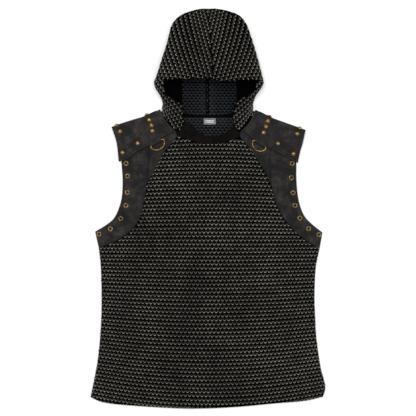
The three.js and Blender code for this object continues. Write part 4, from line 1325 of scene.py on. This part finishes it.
def make_label():
    """A label with no lettering, only a woven border and two plain bars, sewn inside the back neck."""
    low, high = box_mm("label")
    u = np.linspace(0, 1, 121)
    v = np.linspace(0, 1, 65)
    x = mix(low[0], high[0], u)[None, :]
    y = mix(low[1], high[1], v)[:, None]
    lift = (0.35 * np.sin(pi * u) + 0.12 * np.sin(9 * u))[None, :] * (1 - v)[:, None]
    points = np.stack(np.broadcast_arrays(x, y, (low[2] + high[2]) / 2 + 0.25 + lift), -1)
    sheet = Sheet(points, u, v)
    hem = 0.14 * (bell(u, 0.04, 0.035) + bell(u, 0.96, 0.035))[None, :] + 0.1 * bell(v, 0.95, 0.05)[:, None]
    from_side = np.minimum(u, 1 - u)[None, :] * (high[0] - low[0])
    from_end = np.minimum(v, 1 - v)[:, None] * (high[1] - low[1])
    frame_line = smooth(0.5, 0.2, np.abs(np.minimum(from_side, from_end) - LABEL_FRAME))
    bars = smooth(1.4, 1.1, np.abs(from_end - LABEL_BAR)) * smooth(4.2, 5, from_side)
    pattern = np.maximum(frame_line, bars)
    label = shell("woven_label", sheet, 0.2, 0.2, "label", "label", pattern, hem)
    paths = [parallel_path(sheet, 0.22, v=0.9, low=0.03, high=0.97)]
    sewn = stitches("label_stitches", paths, length=1.6, gap=0.8, half_width=0.2, half_height=0.14)
    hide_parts("label")


# ---------------------------------------------------------------- hood
STRIP_ROWS, FLARE_ROWS, CROWN_ROWS = 5, 3, 8       # shares of a hood half's length
FINER = 4
HOOD_LEAN = 17                 # degrees from upright of the rows at the centre seam
HOOD_SPREAD = 11               # degrees that they lean more at the side
HOOD_SPREAD_AT = 120           # how far out that side is; the rows go on leaning more to the end
HOOD_SPREAD_END = 200
CROWN_CLOSURE = 0.96           # how nearly a half's last row shrinks to the crown's point
STRIP_LEAN = {"left": 40, "right": 49}
BRIM_Y = 303                   # the rows above turn into the side strips' rows here
BRIM_DIP = 13                  # how far the brim may hang below that level
BRIM_REACH = 100               # it hangs there only this far out from the centre seam
TOP_ROWS_START = 12            # how far before BRIM_Y the rows above it start, and how long they run
TOP_ROWS_LENGTH = 272
STRIP_ROWS_START = 190         # the same for the rows of the side strips
STRIP_ROWS_LENGTH = 200


def signed_power(value, power):
    return np.sign(value) * np.abs(value) ** power


def hood_row(back, edge, end, rise, side_rise, floor, bow):
    """From the back seam out to the side, round it and over the top to the opening or the top seam."""
    width = edge[0] - back[0]
    end_share = (end[0] - back[0]) / width
    turn_start = max(0.4, 1 - 0.9 * (side_rise - floor) / abs(width))
    under = [(share, floor) for share in np.linspace(0, turn_start, 14)]
    turned = [(mix(turn_start, 1, sin(a)), mix(side_rise, floor, cos(a)))
              for a in np.linspace(0, pi / 2, 9)[1:]]
    shares, heights = np.array(under + turned).T
    below = np.stack([mix(back[0], edge[0], shares), mix(back[1], edge[1], shares ** 2), heights], -1)
    angles = np.arccos(signed_power(end_share, HOOD_ROUNDNESS / 2)) * np.linspace(0, 1, 31)[1:]
    share = signed_power(np.cos(angles), 2 / HOOD_ROUNDNESS)
    inward = (1 - share) / (1 - end_share)
    across = end - edge
    sideways = np.array([-abs(across[1]) * np.sign(across[0]), -abs(across[0])])
    sideways /= np.linalg.norm(sideways)
    plan = edge + across * inward[:, None] + sideways * (bow * 4 * inward * (1 - inward))[:, None]
    above = np.concatenate([plan, mix(side_rise, rise, np.sin(angles) ** (2 / HOOD_ROUNDNESS))[:, None]], -1)
    return np.concatenate([below, above])


def hood_grid(side):
    steps = [rows * FINER for rows in (STRIP_ROWS, FLARE_ROWS, CROWN_ROWS)]

    def chained(*curves):
        parts = [spline(points, np.linspace(0, 1, count + 1)) for points, count in zip(curves, steps)]
        return np.concatenate([parts[0], parts[1][1:], parts[2][1:]])

    edges = chained(side.hood_side, side.hood_flare, side.hood_crown)
    ends = chained(side.hood_opening, side.hood_brim, TOP_SEAM)
    backs = chained([(BACK_SEAM_X, NECK_Y), (BACK_SEAM_X, 285)], [(BACK_SEAM_X, 285), (BACK_SEAM_X, 312)],
                    [(BACK_SEAM_X, 312), (BACK_SEAM_X, 400), (1, CROWN_Y)])
    apart = np.array([side.sign * 0.15, 0])
    seam_row = steps[0] + steps[1]
    grid, flat = [], []
    seam_travel = 0.0
    for j in range(sum(steps)):
        climb = smooth(0, 1, j / steps[0])
        crown = max(0, (ends[j][1] - FRONT_EDGE_MIDDLE[1]) / (CROWN_Y - FRONT_EDGE_MIDDLE[1]))
        fall = 1 if j <= seam_row else (1 - crown ** 1.7) ** 0.8
        rise = mix(CROWN_HEIGHT, mix(NECK_EDGE_RISE, HOOD_RISE, climb), fall)
        side_rise = mix(CROWN_HEIGHT, mix(NECK_SIDE_RISE, HOOD_SIDE_RISE, climb), fall)
        end = ends[j] + (apart if j >= seam_row else 0)
        row = hood_row(backs[j] + apart, edges[j], end, rise, side_rise, KNIT / 2, NECK_BOW * (1 - climb))
        if j > seam_row:
            seam_travel += np.linalg.norm(row[-1] - grid[-1][-1]) - (row[-1][1] - grid[-1][-1][1])
        travel = np.concatenate([[0], np.cumsum(np.linalg.norm(np.diff(row, axis=0), axis=1))])
        outward = side.sign * row[-1][0] + travel[-1] - travel
        grid.append(row)
        flat.append(np.stack([outward, row[:, 1] + seam_travel], -1))
    crown = np.array([1 + apart[0], CROWN_Y, CROWN_HEIGHT])
    grid.append(mix(grid[-1], crown, CROWN_CLOSURE))
    flat.append(mix(flat[-1], np.array([side.sign * crown[0], CROWN_Y + seam_travel]), CROWN_CLOSURE))
    return np.array(grid), np.array(flat)


def hood_lines(side):
    """Rows lean towards the centre seam, and lean more down the strips beside the opening."""
    count = 42
    for k in range(-16, count):
        start = k * ROW_SPACING / cos(radians(HOOD_LEAN + 5))
        lean = radians(HOOD_LEAN + HOOD_SPREAD * min(max(start, 0), HOOD_SPREAD_END) / HOOD_SPREAD_AT)
        direction = np.array([sin(lean), cos(lean)])
        origin = np.array([start, BRIM_Y]) - direction * TOP_ROWS_START
        yield origin, direction, TOP_ROWS_LENGTH, pi * (k % 2), True
    lean = radians(STRIP_LEAN[side.name])
    direction = np.array([sin(lean), cos(lean)])
    for k in range(-12, count):
        start = k * ROW_SPACING / cos(lean)
        origin = np.array([start, BRIM_Y]) - direction * STRIP_ROWS_START
        yield origin, direction, STRIP_ROWS_LENGTH, pi * (k % 2), False


def make_hood(side):
    grid, flat = hood_grid(side)
    u = np.linspace(0, 1, grid.shape[1])
    v = np.linspace(0, 1, grid.shape[0])
    if side.sign > 0:
        grid, flat = grid[:, ::-1], flat[:, ::-1]
    sheet = Sheet(grid, u, v, outward_up=False)
    ground = shell(f"hood_cloth_{side.name}", sheet, GROUND_UPPER, GROUND_LOWER, "ground", "knit")
    rows, columns = grid.shape[:2]
    corners = np.concatenate([flat, np.zeros((rows, columns, 1))], -1).reshape(-1, 3)
    quads = grid_faces(rows, columns)
    triangles = np.concatenate([quads[:, [0, 1, 2]], quads[:, [0, 2, 3]]])
    tree = BVHTree.FromPolygons([Vector(p) for p in corners], [tuple(t) for t in triangles.tolist()])
    solid, facing = grid.reshape(-1, 3), sheet.normals.reshape(-1, 3)
    laying_top = [True]

    def place(points):
        found = np.zeros((len(points), 3))
        normals = np.tile([0.0, 0.0, 1.0], (len(points), 1))
        hit = np.zeros(len(points), bool)
        for n, (a, b) in enumerate(points):
            on_top = b >= BRIM_Y or (b > BRIM_Y - BRIM_DIP and a < BRIM_REACH)
            if on_top != laying_top[0]:
                continue
            spot, _, index, _ = tree.ray_cast(Vector((a, b, 1)), Vector((0, 0, -1)))
            if spot is None:
                continue
            ids = triangles[index]
            p = corners[ids][:, :2]
            weights = np.linalg.solve(np.vstack([p.T, np.ones(3)]), np.array([a, b, 1.0]))
            found[n] = weights @ solid[ids]
            normals[n] = weights @ facing[ids]
            hit[n] = True
        return found, unit(normals), hit

    runs, links = [], []
    for *line, top in hood_lines(side):
        laying_top[0] = top
        more_runs, more_links = weave([line], place, HOOD_YARN)
        runs += more_runs
        links += more_links
    pieces = [tubes(f"hood_rows_{side.name}", runs, "yarn"), tubes(f"hood_links_{side.name}", links, "link")]
    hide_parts(f"hood_{side.name}")


def make_seam_cords():
    """The rolled seams that show: the hood's back seam and the neck seam inside."""
    up = np.array([0.0, 0.0, 1.0])
    runs = []

    def cord(points, width, height):
        points = np.array(points, float)
        count = len(points)
        runs.append((points, np.tile(up, (count, 1)), np.full(count, width), np.full(count, height),
                     np.zeros(count)))

    y = np.linspace(NECK_Y + 4, 396, 60)
    for x, width, height in ((BACK_SEAM_X - 1.9, 1.7, 0.55), (BACK_SEAM_X + 1.7, 1.3, 0.4)):
        cord(np.stack([np.full_like(y, x), y, np.full_like(y, 2.5)], -1), width, height)
    x = np.linspace(-68, 72, 60)
    curve = NECK_Y + NECK_RISE * (x / NECK_HALF_WIDTH) ** 2
    cord(np.stack([x, curve + 1.2, np.full_like(x, 2.6)], -1), 1.9, 0.55)
    cord(np.stack([x, curve - 1.6, np.full_like(x, 2.5)], -1), 1.1, 0.4)
    tubes("seam_cords", runs, "seam", "neckband", sides=8)


# ---------------------------------------------------------------- the whole top
FLOOR_REACH = 20000            # from the middle of the floor to its edge
FLOOR_LEVEL = -0.2


def make_floor():
    edge = np.linspace(-FLOOR_REACH, FLOOR_REACH, 9)
    plan = np.stack(np.meshgrid(edge, edge), -1)
    points = np.concatenate([plan, np.full((9, 9, 1), FLOOR_LEVEL)], -1).reshape(-1, 3)
    floor = build("floor", points, grid_faces(9, 9), "floor", body=None)
    floor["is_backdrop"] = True


make_floor()
make_back()
make_front()
for half in (LEFT, RIGHT):
    make_armhole(half)
    make_yoke(half)
    make_flap(half)
    make_strap(half)
    make_ring(half)
    make_studs(half)
    make_eyelets(half)
    make_hood(half)
make_neckband()
make_label()
make_seam_cords()

boxes = {"cad": cad_box, "visual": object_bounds()}
sizes = {key: [[float(value) for value in corner] for corner in box] for key, box in boxes.items()}
